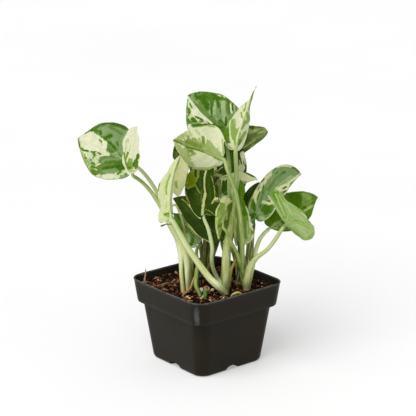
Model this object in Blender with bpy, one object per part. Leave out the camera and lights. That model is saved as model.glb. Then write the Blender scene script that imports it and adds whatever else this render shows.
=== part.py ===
"""Young variegated pothos in a square plastic nursery pot.

The pot stands on the ground with the middle of its base at the origin and its sides along X and Y.
The plant was shaped from one view, over a corner of the pot. Leaves and stems are given by the places
(u, v) where that view shows them and by their depth in millimetres behind the middle of the pot.
"""
import math

import bmesh
import bpy
import numpy as np
from mathutils import Matrix, Vector

MM = 0.001
WELD = 0.000001

# Pot
POT_HEIGHT = 76.0
RIM_HALF = 51.0
RIM_CORNER = 12.7
BAND_HEIGHT = 22.0
BAND_HALF = 48.2
BODY_HALF = 44.3
BASE_HALF = 37.4
BASE_CORNER = 10.0
WALL = 1.3
FLOOR = 1.6
BASE_ROUND = 1.6
BAND_STEP = 0.8
RIM_ROUND = 0.6
CORNER_STEPS = 4
CREASE_ANGLE = 35.0

# Drain notches: an arch in each side at the base, with a tunnel behind it that tapers inward
NOTCH_WIDTH = 16.0
NOTCH_HEIGHT = 4.4
NOTCH_REACH = 17.0
NOTCH_STEPS = 10
ARCH_POWER = 0.7
TUNNEL_END = 0.2
BELOW_BASE = -1.0
BEYOND_WALL = 3.0

# Soil
SOIL_TOP = 70.0
SOIL_ROUGHNESS = 0.9
SOIL_DIP = 0.6
SOIL_RIPPLE = (0.31, 0.27)
SOIL_SWELL = (0.6, 0.13, -0.22)
CLEARANCE = 0.3
SOIL_RINGS = (0.82, 0.62, 0.42, 0.22)
ROOT_DEPTH = 9.0
ABOVE_SOIL = 0.5
HOLE_DEPTH = 11.0
HOLE_SIDES = 14

# Leaves and stems
BLADE_THICKNESS = 0.7
LOBE_ROWS = 3
BLADE_ROWS = 8
BLADE_CELLS = 3
LOBE_SHARE = 0.28
VEIN_RAKE = 1.35
WAVE_HEIGHT = 0.8
WAVES = 3.2
WAVE_EASE = 5.0
WAVE_SHIFT = 1.7
VEIN_RISE = 1.4
VEIN_SPREAD = 0.95
CURL_REACH = 0.4
LOBE_START = 0.05
MARGIN_POINTS = 240
TRACE_STEPS = 12
TRACE_EASE = 0.5
LEAF_CREASE = 60.0
STEM_POINTS = 6
STEM_ROUNDNESS = 2
STEM_CREASE = 50.0

# The bend of a stem under the base of its blade: how far below it, how far behind it and share of radius
BEND = ((4.0, 2.8, 1.0), (2.0, 0.5, 0.85))
BEND_END = 0.6

# The view: where the eye is, how far it looks down, its focal length and the middle of its image
VIEW_EYE = np.array([1.1, -1420.4, 570.1])
VIEW_DROP = math.radians(16.74)
VIEW_TURN = math.radians(-39.35)
VIEW_FOCAL = 1661.0
VIEW_MIDDLE = 208.0
VIEW_AHEAD = np.array([0.0, math.cos(VIEW_DROP), -math.sin(VIEW_DROP)])
VIEW_UP = np.array([0.0, math.sin(VIEW_DROP), math.cos(VIEW_DROP)])

# Each blade has its base (u, v, depth), its tip (u, v), the direction that its top faces (degrees turned
# from the viewer to the right, degrees above the level), the slope and curl of its two halves, the height of
# its arch and the places of its two margins from base to tip. A rib is where a bent midrib passes.
LEAVES = {
    "leaf_far_left": dict(
        base=(124, 160, 2), tip=(77.5, 138.7), facing=(-15, 35),
        fold=(0.25, 0.25), curl=(-0.2, -0.3), arch=0.08,
        left=[(130, 173), (124, 178), (118, 179), (106, 179.7), (93, 175), (85.5, 164.5), (79.7, 150)],
        right=[(131, 152), (134, 141), (128, 128.5), (118, 123), (108, 122.4), (97, 125), (86, 132)]),
    "leaf_folded_left": dict(
        base=(131.8, 173.5, -20), tip=(137, 126.3), facing=(-40, 8), fold=(0.5, 0.5), arch=0.03,
        left=[(127, 174), (122.9, 162), (122.5, 152), (124.2, 137), (130, 128.5)],
        right=[(136, 171), (139, 164), (139.5, 150), (138.5, 138)]),
    "leaf_top": dict(
        base=(226, 128, 4), tip=(188, 95), facing=(-14, 32), fold=(0.2, 0.2), curl=(-0.3, -0.2), arch=0.08,
        left=[(226, 138), (216, 144), (201, 141), (188.5, 130), (186, 121), (186.2, 112), (187, 102)],
        right=[(234, 126), (239.5, 116), (238, 107.5), (223.5, 95.5), (215, 92.6), (205, 91.6),
               (194, 92.5)]),
    "leaf_front_pale": dict(
        base=(221.2, 158, -28), tip=(172.6, 140.1), facing=(197, 12), rib=(198.3, 149.2),
        fold=(0.1, 0.25), curl=(0.1, 0.5), arch=0.06,
        left=[(224.4, 154), (224.4, 148), (223.8, 142), (223.4, 136), (217.5, 127), (205.9, 125.1),
              (190.6, 129), (180, 134.5)],
        right=[(222.7, 164.2), (213.6, 168), (202.9, 170.3), (192.9, 168.8), (186, 162.6), (177.6, 151.5)]),
    "leaf_spear": dict(
        base=(235.4, 149, -18), tip=(256.6, 85.5), facing=(205, 12), rib=(242, 122),
        fold=(0.6, 0.35), arch=0.05,
        left=[(239, 151), (243.4, 144.5), (248.6, 131), (249.8, 117), (251, 103), (254, 92)],
        right=[(231, 150), (225.3, 145), (224.8, 136), (226.3, 128.5), (229.5, 120.5), (236, 112),
               (247.5, 100.5), (253.5, 91)]),
    "leaf_back_upper": dict(
        base=(234, 151, 40), tip=(268.2, 132), facing=(20, 38), fold=(0.3, 0.6), arch=0.06,
        left=[(231, 142), (236, 131), (248.8, 125.7), (263.3, 127.2)],
        right=[(238, 156.5), (251.8, 147.5), (264, 138)]),
    "leaf_back_middle": dict(
        base=(235, 190, 25), tip=(236, 136), facing=(15, 12), fold=(0.2, 0.2), arch=0.06,
        left=[(230, 193), (225, 184), (223.4, 165), (223, 150), (224, 142), (228.5, 136.8)],
        right=[(240, 192.5), (245.5, 185), (246.5, 171), (246, 160), (242.5, 147)]),
    "leaf_cream_behind": dict(
        base=(219, 197, 11), tip=(257.8, 179.6), facing=(-5, 20), rib=(235, 186.5),
        fold=(0.2, 0.5), arch=0.05,
        left=[(215, 194), (214, 186), (217.6, 179), (226.8, 174.5), (239, 171.7), (247, 172.5),
              (254.4, 176.1)],
        right=[(222, 201), (232, 197.5), (241.7, 185.5), (249, 182)]),
    "leaf_centre": dict(
        base=(203.6, 214.5, -7), tip=(212.5, 158), facing=(-15, 22), rib=(204.6, 188),
        fold=(0.1, 0.5), curl=(-0.1, 0), arch=0.05,
        left=[(200.6, 219), (196, 215.7), (192, 211), (187.4, 201.7), (184.5, 189), (187.4, 175.3),
              (193.7, 168), (203, 161)],
        right=[(208, 213.5), (215, 215.5), (219, 207), (218.3, 198), (215, 189), (213.4, 178.8), (213.8, 168)]),
    "leaf_lower_left": dict(
        base=(219, 235, 3), tip=(172.5, 198.3), facing=(-20, 22), fold=(0.2, 0.25), arch=0.04,
        left=[(218.5, 243), (217, 246.7), (208.6, 242), (200.6, 238), (193.7, 232.7), (188, 224.2),
              (184, 218.4), (179, 208.5)],
        right=[(221.5, 242.5), (225.4, 236), (225, 229), (223.5, 221), (219, 212), (206, 203), (192, 197),
               (181, 196)]),
    "leaf_low_small": dict(
        base=(198, 243, 14), tip=(173, 213), facing=(-25, 30), fold=(0.2, 0.2), arch=0.04,
        left=[(195, 247.5), (190.5, 247.3), (183, 240), (177, 228)],
        right=[(201.5, 241), (201, 235), (194, 224), (184, 215)]),
    "leaf_front_small": dict(
        base=(222.8, 225.5, -30), tip=(225.5, 196.6), facing=(200, 14), fold=(0.45, 0.3), arch=0.05,
        left=[(226.5, 229), (229.7, 217.4), (232.6, 204), (231, 199)],
        right=[(221, 233), (218.5, 240), (216.3, 231.8), (214.8, 222), (216, 210.5), (218.8, 204),
               (221.5, 198.5)]),
    "leaf_lower_right": dict(
        base=(240, 236, -10), tip=(240, 179), facing=(35, 14), fold=(0.5, 0.35), arch=0.04,
        left=[(238, 240), (235.5, 232), (236, 218), (237.5, 200), (238.2, 188)],
        right=[(242, 245.3), (249.8, 242.5), (253.6, 237), (253.6, 231), (252.1, 224.9), (249.2, 214.5),
               (246.2, 206.5), (244, 199), (245.3, 192), (243.8, 184.5)]),
    "leaf_right_speckled": dict(
        base=(255, 218, 4), tip=(301.3, 174.8), facing=(20, 38), rib=(271, 195),
        fold=(0.25, 0.45), curl=(-0.3, 0), arch=0.08,
        left=[(253.5, 225.5), (250, 217), (247.8, 206.1), (252.9, 194), (260, 182.5), (268.8, 172.3),
              (276.5, 167), (285, 164.7), (293, 166.3), (298.5, 170)],
        right=[(259.2, 221.6), (265, 220.2), (270.7, 215.9), (275.5, 209.3), (284.7, 195.5),
               (292.4, 183.8)]),
    "leaf_right_green": dict(
        base=(270.5, 227.8, 29), tip=(318, 197.2), facing=(25, 34), rib=(290, 214.5),
        fold=(0.2, 0.3), arch=0.08,
        left=[(264, 222), (268, 210), (275.8, 200), (286, 193), (298.8, 191.4), (311.5, 193)],
        right=[(275, 229.8), (282, 231.8), (292, 230.5), (303, 224.5), (311, 216.5), (313.5, 207.5)]),
    "leaf_front_right": dict(
        base=(286.3, 223.6, -28), tip=(302, 210.5), facing=(135, 45), fold=(0.05, 0.05), arch=0.03,
        left=[(287.3, 228.4), (291.1, 230.4), (298.8, 236.1), (303.9, 239.9), (309, 240.6),
              (312.8, 237.6), (314.9, 233), (313.5, 227.5), (308.5, 219)],
        right=[(283.5, 220), (279, 213.5), (274.5, 204.8), (270.1, 193.8), (273, 190.6), (278.4, 190.8),
               (287.9, 200.4), (295, 206)]),
    "leaf_rolled": dict(
        base=(170.5, 217, -33), tip=(180, 154.6), facing=(201, 2), rib=(169.8, 188),
        fold=(0.9, 0.5), arch=0.02,
        left=[(173, 214), (172.5, 204), (173, 190), (176, 172), (179.5, 162)],
        right=[(167, 220), (160.2, 223), (158.3, 217), (160.5, 208), (157.7, 198), (158, 189),
               (160.6, 181.6), (166.4, 172.4), (172.4, 163)]),
    "leaf_cream_left": dict(
        base=(184.5, 157, 0), tip=(177, 196.3), facing=(-25, 18), fold=(0.2, 0.2), arch=0.04,
        left=[(180, 155.5), (175, 164), (171.8, 178), (172, 190)],
        right=[(189, 159), (188.5, 166.8), (187.3, 175.5), (183.7, 187.8), (180.5, 194.5)]),
    "leaf_back_left": dict(
        base=(200, 144, 24), tip=(171.5, 156), facing=(-15, 18), fold=(0.2, 0.2), arch=0.05,
        left=[(206, 152), (198, 161), (188, 168), (177.5, 163.5)],
        right=[(202, 137), (190, 136), (178, 139.5), (171.8, 147)]),
    "leaf_back_centre": dict(
        base=(209, 190, 16), tip=(226, 157), facing=(0, 10), fold=(0.1, 0.1), arch=0.03,
        left=[(205, 186), (204, 176), (208, 166), (216, 158)],
        right=[(214, 192), (222, 188), (227, 178), (229, 166)]),
    "leaf_behind_right": dict(
        base=(248, 214, 20), tip=(259, 182), facing=(25, 32), fold=(0.25, 0.25), arch=0.06,
        left=[(244, 211), (242.3, 198), (247, 190.5), (253, 185)],
        right=[(252, 217), (258, 212), (263, 202), (264.5, 190)]),
}

# Each stem is a list of (u, v, depth, radius); a depth of None is on the soil. A stem that ends at a leaf
# is listed under the leaf's name, and the stems of one node are fused where they meet.
STEMS = {
    "stems_left": {
        "leaf_far_left": [
            (183, 291, None, 2.0), (181.6, 277, -16, 1.9), (181.2, 264, -16, 2.2), (181.5, 252, -15, 3.4),
            (179.5, 240, -15, 4.2), (174, 226, -14, 3.7), (167, 211.5, -12, 2.6), (158, 194.5, -8, 1.8),
            (151, 182.5, -4, 1.7), (144, 173.5, -1, 1.6), (137, 167, 3, 1.5)],
        "leaf_folded_left": [
            (188, 290.5, None, 2.0), (187.4, 277, -17, 2.3), (187, 263, -16, 3.0), (184.5, 251, -16, 3.6),
            (179.5, 239, -16, 3.9), (170.5, 224, -16, 3.3), (162, 208.5, -15, 2.1), (154, 196, -14, 1.8),
            (147, 187, -14, 1.7), (139.5, 180, -15, 1.6)],
        "torn": [
            (186.5, 260, -14, 2.2), (188.3, 250, -11, 1.6), (185.4, 238, -10, 1.3),
            (183.7, 225.5, -10, 1.1), (179.6, 212.8, -10, 1.0), (175.5, 205, -10, 1.0),
            (171, 207, -10, 0.8)],
        "sheath": [
            (186, 246, -14, 3.0), (189.5, 257, -13, 3.2), (191.3, 268, -12, 2.4), (192.3, 279, -10, 0.9)],
        "thin": [
            (191, 289.5, None, 1.3), (190.3, 278, -14, 1.3), (189.5, 265, -14, 1.7)]},
    "stems_front": {
        "leaf_spear": [
            (226, 293.2, None, 3.0), (225.6, 280, -26, 3.5), (226, 266, -24, 4.0), (226.8, 250, -22, 3.9),
            (229, 238, -20.5, 4.0), (231.8, 224, -19, 3.4), (233.8, 208, -18, 2.6),
            (235.4, 190, -17, 2.2), (236.3, 172, -17, 2.0)],
        "leaf_rolled": [
            (224.4, 294, None, 3.1), (217.8, 286, -32, 3.4), (208.6, 277, -34, 3.1),
            (190.4, 251.9, -36, 2.7), (181.7, 236.7, -36, 2.5), (173, 221.5, -36, 2.0)],
        "front_sheath": [
            (236.4, 246, -22, 0.6), (235.6, 238, -22, 1.6), (235.4, 228, -21.5, 2.3), (235, 214, -19.5, 2.1),
            (234.6, 205, -18.3, 1.2)],
        "dead": [(229, 287, -24, 2.0), (230.5, 272, -24, 1.6), (235.9, 259.4, -24, 0.7)]},
    "stems_right": {
        "leaf_front_right": [
            (246.8, 289, None, 3.3), (246.8, 280, -14.4, 3.9), (249.2, 269, -17, 3.4), (256, 258.4, -20, 2.3),
            (266.9, 250, -25, 1.9), (274.5, 240.6, -29, 1.9), (282.2, 228.8, -32, 1.7)],
        "leaf_front_pale": [
            (245.6, 288, None, 2.5), (242.6, 276, -13, 2.2), (242.4, 259, -17, 2.1),
            (242.3, 246, -21, 2.1), (241.7, 228.9, -24, 2.1), (239.4, 211.7, -26, 2.0),
            (236, 194.4, -28, 2.0), (232.6, 183, -29, 1.9), (227.2, 169.5, -31, 1.7)],
        "leaf_front_small": [
            (246, 288.5, None, 2.6), (243.5, 274, -17, 2.0), (239.8, 263, -26, 1.7),
            (237, 253.5, -29, 1.6), (231.8, 243.4, -31, 1.5), (226.2, 231.5, -33, 1.3)],
        "leaf_right_green": [
            (247.4, 289, None, 2.8), (251.5, 271, -8, 2.2), (255.6, 251, 3, 2.0), (259.4, 240.2, 14, 1.9),
            (263.6, 234, 21, 1.8), (267.8, 230.2, 26, 1.7)],
        "leaf_right_speckled": [
            (247, 288.6, None, 2.7), (250.3, 268, -8, 2.0), (251.8, 250, -2, 1.7), (252.8, 234, 2, 1.5),
            (254, 224, 6, 1.4)],
        "leaf_lower_right": [
            (246.2, 288.6, None, 2.7), (245.5, 270, -11, 2.0), (242.8, 254, -11, 1.7),
            (240.5, 242, -10, 1.5)]},
    "stem_low": {
        "leaf_low_small": [
            (200, 295.2, None, 1.9), (196.2, 286, -26, 2.1), (196.4, 275, -22, 2.0),
            (197.6, 264, -14, 1.8), (196.5, 254, -1, 1.6), (197.5, 247.5, 10, 1.4)]},
    "stems_inner": {
        "leaf_centre": [
            (222.3, 286.5, None, 2.4), (217.4, 278, -3, 2.0), (213, 268, -6, 1.9), (211.8, 258, -9, 1.9),
            (212.2, 247, -10, 1.9), (208.6, 229.9, -9, 1.8), (205, 221, -7, 1.6)],
        "leaf_lower_left": [
            (221.5, 285.5, None, 2.4), (223.5, 270, 2, 2.0), (225, 256, 5, 1.7), (222, 244, 7, 1.5)]},
    "stems_middle": {
        "leaf_top": [
            (238, 283.8, None, 2.5), (240, 268, 4, 2.2), (240, 256, 5, 1.9), (238.8, 243, 5, 1.6),
            (236, 228, 3, 1.8), (231.5, 208, -1, 1.9), (229.2, 190, -5, 1.8), (229.4, 168, -4, 1.7),
            (227.5, 150, 3, 1.6), (226.5, 138, 9, 1.5)],
        "leaf_cream_behind": [
            (239, 284, None, 2.2), (236, 262, 8, 2.0), (228, 235, 11, 1.8), (221, 212, 14, 1.6),
            (219.5, 203, 14.5, 1.4)],
        "leaf_behind_right": [
            (240, 283.5, None, 2.2), (246.5, 262, 12, 1.9), (248.5, 240, 19, 1.7), (248.3, 222, 22, 1.4)]},
    "stems_back": {
        "leaf_back_upper": [
            (208.3, 272, None, 2.4), (208.6, 257, 35, 2.3), (209.5, 243, 37, 2.2), (216, 224, 39, 2.0),
            (225, 205, 40, 1.9), (231, 180, 43, 1.8), (233.5, 160, 44, 1.5)],
        "leaf_back_middle": [
            (207, 272.5, None, 2.4), (212, 258, 33, 2.0), (222, 230, 31, 1.8), (231, 205, 29, 1.6),
            (234, 198, 29, 1.5)],
        "leaf_back_left": [
            (205.5, 272, None, 2.4), (205.6, 252, 37, 2.3), (204, 225, 35, 2.0), (203, 200, 34, 1.9),
            (203, 180, 34, 1.7), (202, 156, 30, 1.4)],
        "leaf_back_centre": [
            (204.5, 272.5, None, 2.4), (204.5, 252, 32, 1.9), (206, 220, 26, 1.7), (208.5, 199, 19, 1.4)],
        "leaf_cream_left": [
            (203.5, 272, None, 2.4), (202, 254, 34, 2.2), (199.5, 238, 33, 2.0), (197, 215, 31, 1.7),
            (194, 188, 18, 1.5), (191.5, 171, 13, 1.4), (187.5, 159.5, 7, 1.3)]},
    "cut_stub": {
        "stub": [
            (204.9, 296.8, None, 2.2), (205.6, 293.2, -30.8, 2.2), (206.8, 288.4, -31.2, 2.3)]},
    "dry_root": {
        "root": [
            (183.3, 295.5, None, 1.2), (186.5, 292, -27, 1.2), (190.4, 288, -26, 1.0),
            (193.1, 280.5, -21, 0.8), (194, 277, -19.5, 0.6)]},
}


def clear_scene():
    for old in list(bpy.data.objects):
        bpy.data.objects.remove(old, do_unlink=True)


def material(name, colour, roughness, subsurface=0.0):
    found = bpy.data.materials.get(name)
    if found:
        return found
    made = bpy.data.materials.new(name)
    made.use_nodes = True
    shader = made.node_tree.nodes["Principled BSDF"]
    shader.inputs["Base Color"].default_value = (*colour, 1.0)
    shader.inputs["Roughness"].default_value = roughness
    shader.inputs["Metallic"].default_value = 0.0
    shader.inputs["Subsurface Weight"].default_value = subsurface
    made.diffuse_color = (*colour, 1.0)
    return made


def finish(name, mesh, look, sharp_angle=None):
    """One object at the origin, its place in its mesh."""
    thing = bpy.data.objects.new(name, mesh)
    bpy.context.scene.collection.objects.link(thing)
    mesh.materials.clear()
    mesh.materials.append(look)
    if sharp_angle is not None:
        mesh.shade_smooth()
        mesh.set_sharp_from_angle(angle=math.radians(sharp_angle))
    return thing


def applied(thing):
    """The object's mesh with its modifiers applied; the object itself is removed."""
    graph = bpy.context.evaluated_depsgraph_get()
    graph.update()
    mesh = bpy.data.meshes.new_from_object(thing.evaluated_get(graph))
    bpy.data.objects.remove(thing, do_unlink=True)
    return mesh


def boolean(mesh, tools, operation):
    """The mesh cut by, or joined to, each of the tool meshes in turn."""
    for tool_mesh in tools:
        thing = bpy.data.objects.new("shape", mesh)
        tool = bpy.data.objects.new("tool", tool_mesh)
        for each in (thing, tool):
            bpy.context.scene.collection.objects.link(each)
        step = thing.modifiers.new(operation.lower(), "BOOLEAN")
        step.operation = operation
        step.object = tool
        step.solver = "EXACT"
        mesh = applied(thing)
        bpy.data.objects.remove(tool, do_unlink=True)
    return mesh


def closed_mesh(name, points, faces, scale=MM):
    """A mesh of points in millimetres with its faces turned outward."""
    body = bmesh.new()
    verts = [body.verts.new(Vector(p) * scale) for p in points]
    for face in faces:
        body.faces.new([verts[i] for i in face])
    bmesh.ops.recalc_face_normals(body, faces=body.faces)
    mesh = bpy.data.meshes.new(name)
    body.to_mesh(mesh)
    body.free()
    return mesh


def sight(u, v):
    """Direction in which the view sees the place (u, v)."""
    sideways = np.array([(u - VIEW_MIDDLE) / VIEW_FOCAL, 0.0, 0.0])
    return VIEW_AHEAD + sideways - VIEW_UP * ((v - VIEW_MIDDLE) / VIEW_FOCAL)


def seen(u, v, depth=None):
    """Point that the view sees at (u, v), at a depth or, without one, on the soil."""
    ray = sight(u, v)
    if depth is None:
        return VIEW_EYE + ray * ((SOIL_TOP - VIEW_EYE[2]) / ray[2])
    return VIEW_EYE + ray * ((depth - VIEW_EYE[1]) / ray[1])


def pot_frame(points):
    """Points of the view's frame turned into the pot's frame."""
    c, s = math.cos(VIEW_TURN), math.sin(VIEW_TURN)
    turn = np.array([[c, -s, 0.0], [s, c, 0.0], [0.0, 0.0, 1.0]])
    return np.asarray(points, float) @ turn.T


def smooth(points, count):
    """Smooth curve of so many points through hand-placed points."""
    p = np.array(points, float)
    step = np.sqrt(np.linalg.norm(np.diff(p[:, :3], axis=0), axis=1))
    t = np.concatenate([[0.0], np.cumsum(step)])
    slope = np.empty_like(p)
    slope[1:-1] = (p[2:] - p[:-2]) / (t[2:] - t[:-2])[:, None]
    slope[0] = 1.5 * (p[1] - p[0]) / (t[1] - t[0]) - 0.5 * slope[1]
    slope[-1] = 1.5 * (p[-1] - p[-2]) / (t[-1] - t[-2]) - 0.5 * slope[-2]
    s = np.linspace(0.0, t[-1], count)
    k = np.clip(np.searchsorted(t, s, side="right") - 1, 0, len(p) - 2)
    h = (t[k + 1] - t[k])[:, None]
    x = (s - t[k])[:, None] / h
    start = (2 * x**3 - 3 * x**2 + 1) * p[k] + (x**3 - 2 * x**2 + x) * h * slope[k]
    return start + (3 * x**2 - 2 * x**3) * p[k + 1] + (x**3 - x**2) * h * slope[k + 1]


def even(line, count=MARGIN_POINTS):
    """The line with its points spread evenly along it."""
    length = np.concatenate([[0.0], np.cumsum(np.linalg.norm(np.diff(line, axis=0), axis=1))])
    s = np.linspace(0.0, length[-1], count)
    return np.stack([np.interp(s, length, line[:, i]) for i in range(line.shape[1])], 1)


class Blade:
    """A leaf blade: a flat frame from its base to its tip, two margins in it and its lift above it."""

    def __init__(self, base, tip, left, right, facing, fold=(0.2, 0.2), curl=(0.0, 0.0), arch=0.06, rib=None,
                 phase=0.0):
        self.phase = phase
        self.base = seen(*base)
        turn, rise = math.radians(facing[0]), math.radians(facing[1])
        level = math.cos(rise)
        self.up = np.array([math.sin(turn) * level, -math.cos(turn) * level, math.sin(rise)])
        ray = sight(*tip)
        chord = VIEW_EYE + ray * (((self.base - VIEW_EYE) @ self.up) / (ray @ self.up)) - self.base
        self.length = float(np.linalg.norm(chord))
        self.along = chord / self.length
        self.across = np.cross(self.along, self.up)
        self.fold, self.curl, self.arch = fold, curl, arch
        self.sweep = 0.0
        if rib:
            x, y = self.traced(*rib)
            t = y / self.length
            self.sweep = x / (4 * t * (1 - t))
        self.margins = []
        for line in (left, right):
            points = [(0.0, 0.0, 0.0)]
            points += [(*self.traced(*place), 0.0) for place in line]
            points.append((0.0, self.length, 0.0))
            self.margins.append(even(smooth(points, MARGIN_POINTS)[:, :2]))

    def rib_x(self, y):
        t = min(max(y / self.length, 0.0), 1.0)
        return self.sweep * 4 * t * (1 - t)

    def lift(self, x, y):
        """Height of the blade above its flat frame."""
        t = min(max(y / self.length, 0.0), 1.0)
        x = x - self.rib_x(y)
        side = 0 if x < 0 else 1
        bowl = self.fold[side] * abs(x) + self.curl[side] * x * x / (CURL_REACH * self.length)
        return bowl + self.arch * self.length * 4 * t * (1 - t)

    def traced(self, u, v):
        """Frame coordinates of the blade's point that the view shows at (u, v)."""
        ray = sight(u, v)
        x = y = z = 0.0
        for _ in range(TRACE_STEPS):
            reach = ((self.base + self.up * z - VIEW_EYE) @ self.up) / (ray @ self.up)
            place = VIEW_EYE + ray * reach - self.base
            x, y = float(place @ self.across), float(place @ self.along)
            z += TRACE_EASE * (self.lift(x, y) - z)
        return x, y

    def foot(self, a):
        """Where on the midrib the vein to a share of the margin starts."""
        return self.length * max(0.0, (a - LOBE_SHARE) / (1 - LOBE_SHARE)) ** VEIN_RAKE

    def place(self, end, a, r):
        """Point at a share of the way along the vein that ends at a share of the margin."""
        foot = self.foot(a)
        rib = self.rib_x(foot)
        x = rib + (end[0] - rib) * r**VEIN_SPREAD
        y = foot + (end[1] - foot) * r**VEIN_RISE
        ease = min(1.0, WAVE_EASE * a, WAVE_EASE * (1 - a))
        wave = WAVE_HEIGHT * math.sin(2 * math.pi * WAVES * a + self.phase) * ease * r * r
        return self.base + self.across * x + self.along * y + self.up * (self.lift(x, y) + wave)

    def surface(self):
        """Middle surface of the blade: points, and triangles alike on both sides of the midrib."""
        points = [self.base, self.place((0.0, self.length), 1.0, 0.0)]
        blade_shares = np.linspace(LOBE_SHARE, 1.0, BLADE_ROWS + 1)[1:-1]
        shares = list(np.linspace(LOBE_START, LOBE_SHARE, LOBE_ROWS)) + list(blade_shares)
        starts = [0] * LOBE_ROWS
        for a in blade_shares:
            starts.append(len(points))
            points.append(self.place((0.0, 0.0), a, 0.0))
        faces = []
        for side, margin in enumerate(self.margins):
            grid = []
            for a, start in zip(shares, starts):
                end = margin[int(round(a * (len(margin) - 1)))]
                line = [start]
                for j in range(1, BLADE_CELLS + 1):
                    line.append(len(points))
                    points.append(self.place(end, a, j / BLADE_CELLS))
                grid.append(line)
            grid.append([1] * (BLADE_CELLS + 1))
            for one, two in zip(grid, grid[1:]):
                for j in range(BLADE_CELLS):
                    quad = [one[j], one[j + 1], two[j + 1], two[j]]
                    for tri in (quad[:3], [quad[0], quad[2], quad[3]]):
                        if len(set(tri)) == 3:
                            faces.append(tri if side else tri[::-1])
        return np.array(points), faces


def leaf(name, blade, look):
    """A thin waved blade with the same triangles on both faces."""
    points, faces = blade.surface()
    body = bmesh.new()
    verts = [body.verts.new(Vector(p) * MM) for p in pot_frame(points)]
    for face in faces:
        body.faces.new([verts[i] for i in face])
    body.normal_update()
    mesh = bpy.data.meshes.new(name)
    body.to_mesh(mesh)
    body.free()
    thing = finish(name, mesh, look, LEAF_CREASE)
    shell = thing.modifiers.new("thickness", "SOLIDIFY")
    shell.thickness = BLADE_THICKNESS * MM
    shell.offset = 0.0
    shell.use_even_offset = False
    return thing


def route(points, blade):
    """Smooth path of a stem, with its radius: from inside its hole to the underside of its leaf."""
    path = []
    for u, v, depth, radius in points:
        spot = seen(u, v, depth)
        if depth is None:
            path.append((*(spot - [0, 0, ROOT_DEPTH]), radius))
            path.append((*(spot + [0, 0, ABOVE_SOIL]), radius))
        else:
            path.append((*spot, radius))
    if blade is not None:
        last = path[-1][3]
        for below, behind, share in BEND:
            path.append((*(blade.base - blade.up * below - blade.along * behind), last * share))
        path.append((*(blade.base - blade.up * (BLADE_THICKNESS / 2 + 2 * CLEARANCE)), last * BEND_END))
    curve = smooth(path, STEM_POINTS + len(points) * 3 // 2)
    curve[:, :3] = pot_frame(curve[:, :3])
    return curve


def tube(path):
    """Mesh of a curve with a round bevel and filled caps along a path with radii."""
    curve = bpy.data.curves.new("stem", "CURVE")
    curve.dimensions = "3D"
    curve.bevel_depth = 1.0
    curve.bevel_resolution = STEM_ROUNDNESS
    curve.use_fill_caps = True
    line = curve.splines.new("POLY")
    line.points.add(len(path) - 1)
    for point, (x, y, z, radius) in zip(line.points, path):
        point.co = (x * MM, y * MM, z * MM, 1.0)
        point.radius = radius * MM
    thing = bpy.data.objects.new("stem", curve)
    bpy.context.scene.collection.objects.link(thing)
    mesh = applied(thing)
    body = bmesh.new()
    body.from_mesh(mesh)
    bmesh.ops.remove_doubles(body, verts=body.verts, dist=WELD)
    body.to_mesh(mesh)
    body.free()
    return mesh


def stem_group(name, stems, blades, look):
    """The stems of one node, each a tapered tube, fused where they meet."""
    meshes = [tube(route(points, blades.get(leaf_name))) for leaf_name, points in stems.items()]
    return finish(name, boolean(meshes[0], meshes[1:], "UNION"), look, STEM_CREASE)


def square_ring(half, corner, z):
    """Points of a square with rounded corners, round from the middle of its +X side."""
    ring = []
    for quarter in range(4):
        angle = math.pi / 2 * quarter
        c, s = math.cos(angle), math.sin(angle)
        side = [(half, 0.0)]
        for i in range(CORNER_STEPS + 1):
            a = math.pi / 2 * i / CORNER_STEPS
            side.append((half - corner + corner * math.cos(a), half - corner + corner * math.sin(a)))
        for x, y in side:
            ring.append((x * c - y * s, x * s + y * c, z))
    return ring


def skin(rings, peak=None):
    """Points and faces of a body through rings of points, closed by flat ends or, on top, by a peak."""
    points = [p for ring in rings for p in ring]
    n = len(rings[0])
    last = len(points) - n
    faces = [list(range(n))[::-1]]
    if peak is None:
        faces.append(list(range(last, last + n)))
    else:
        faces += [[last + i, last + (i + 1) % n, last + n] for i in range(n)]
        points.append(peak)
    for k in range(len(rings) - 1):
        for i in range(n):
            j = (i + 1) % n
            low, high = k * n, (k + 1) * n
            faces.append([low + i, low + j, high + j])
            faces.append([low + i, high + j, high + i])
    return points, faces


def inner_half(z):
    """Half width of the pot's inside at a height."""
    band = POT_HEIGHT - BAND_HEIGHT
    if z <= band:
        return BASE_HALF + (BODY_HALF - BASE_HALF) * z / band - WALL
    return BAND_HALF + (RIM_HALF - BAND_HALF) * (z - band) / BAND_HEIGHT - WALL


def corner_at(z):
    return BASE_CORNER + (RIM_CORNER - BASE_CORNER) * z / POT_HEIGHT


def tunnel(quarter, extra, low, outer):
    """Arched body that runs inward from a drain notch, set out by an extra thickness on its sides and top."""
    ends = ((outer, 1.0), (BASE_HALF - WALL, 1.0), (BASE_HALF - NOTCH_REACH - extra, TUNNEL_END))
    rings = []
    for y, share in ends:
        half = NOTCH_WIDTH / 2 * (1 + share) / 2 + extra
        rise = NOTCH_HEIGHT * share + extra - low
        ring = []
        for i in range(NOTCH_STEPS + 1):
            c, s = math.cos(math.pi * i / NOTCH_STEPS), math.sin(math.pi * i / NOTCH_STEPS)
            x = math.copysign(abs(c) ** ARCH_POWER, c) * half
            ring.append((x, y, low + rise * max(s, 0.0) ** ARCH_POWER))
        rings.append(ring)
    points, faces = skin(rings)
    turn = Matrix.Rotation(math.pi / 2 * quarter, 3, "Z")
    return closed_mesh("tunnel", [turn @ Vector(p) for p in points], faces)


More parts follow.
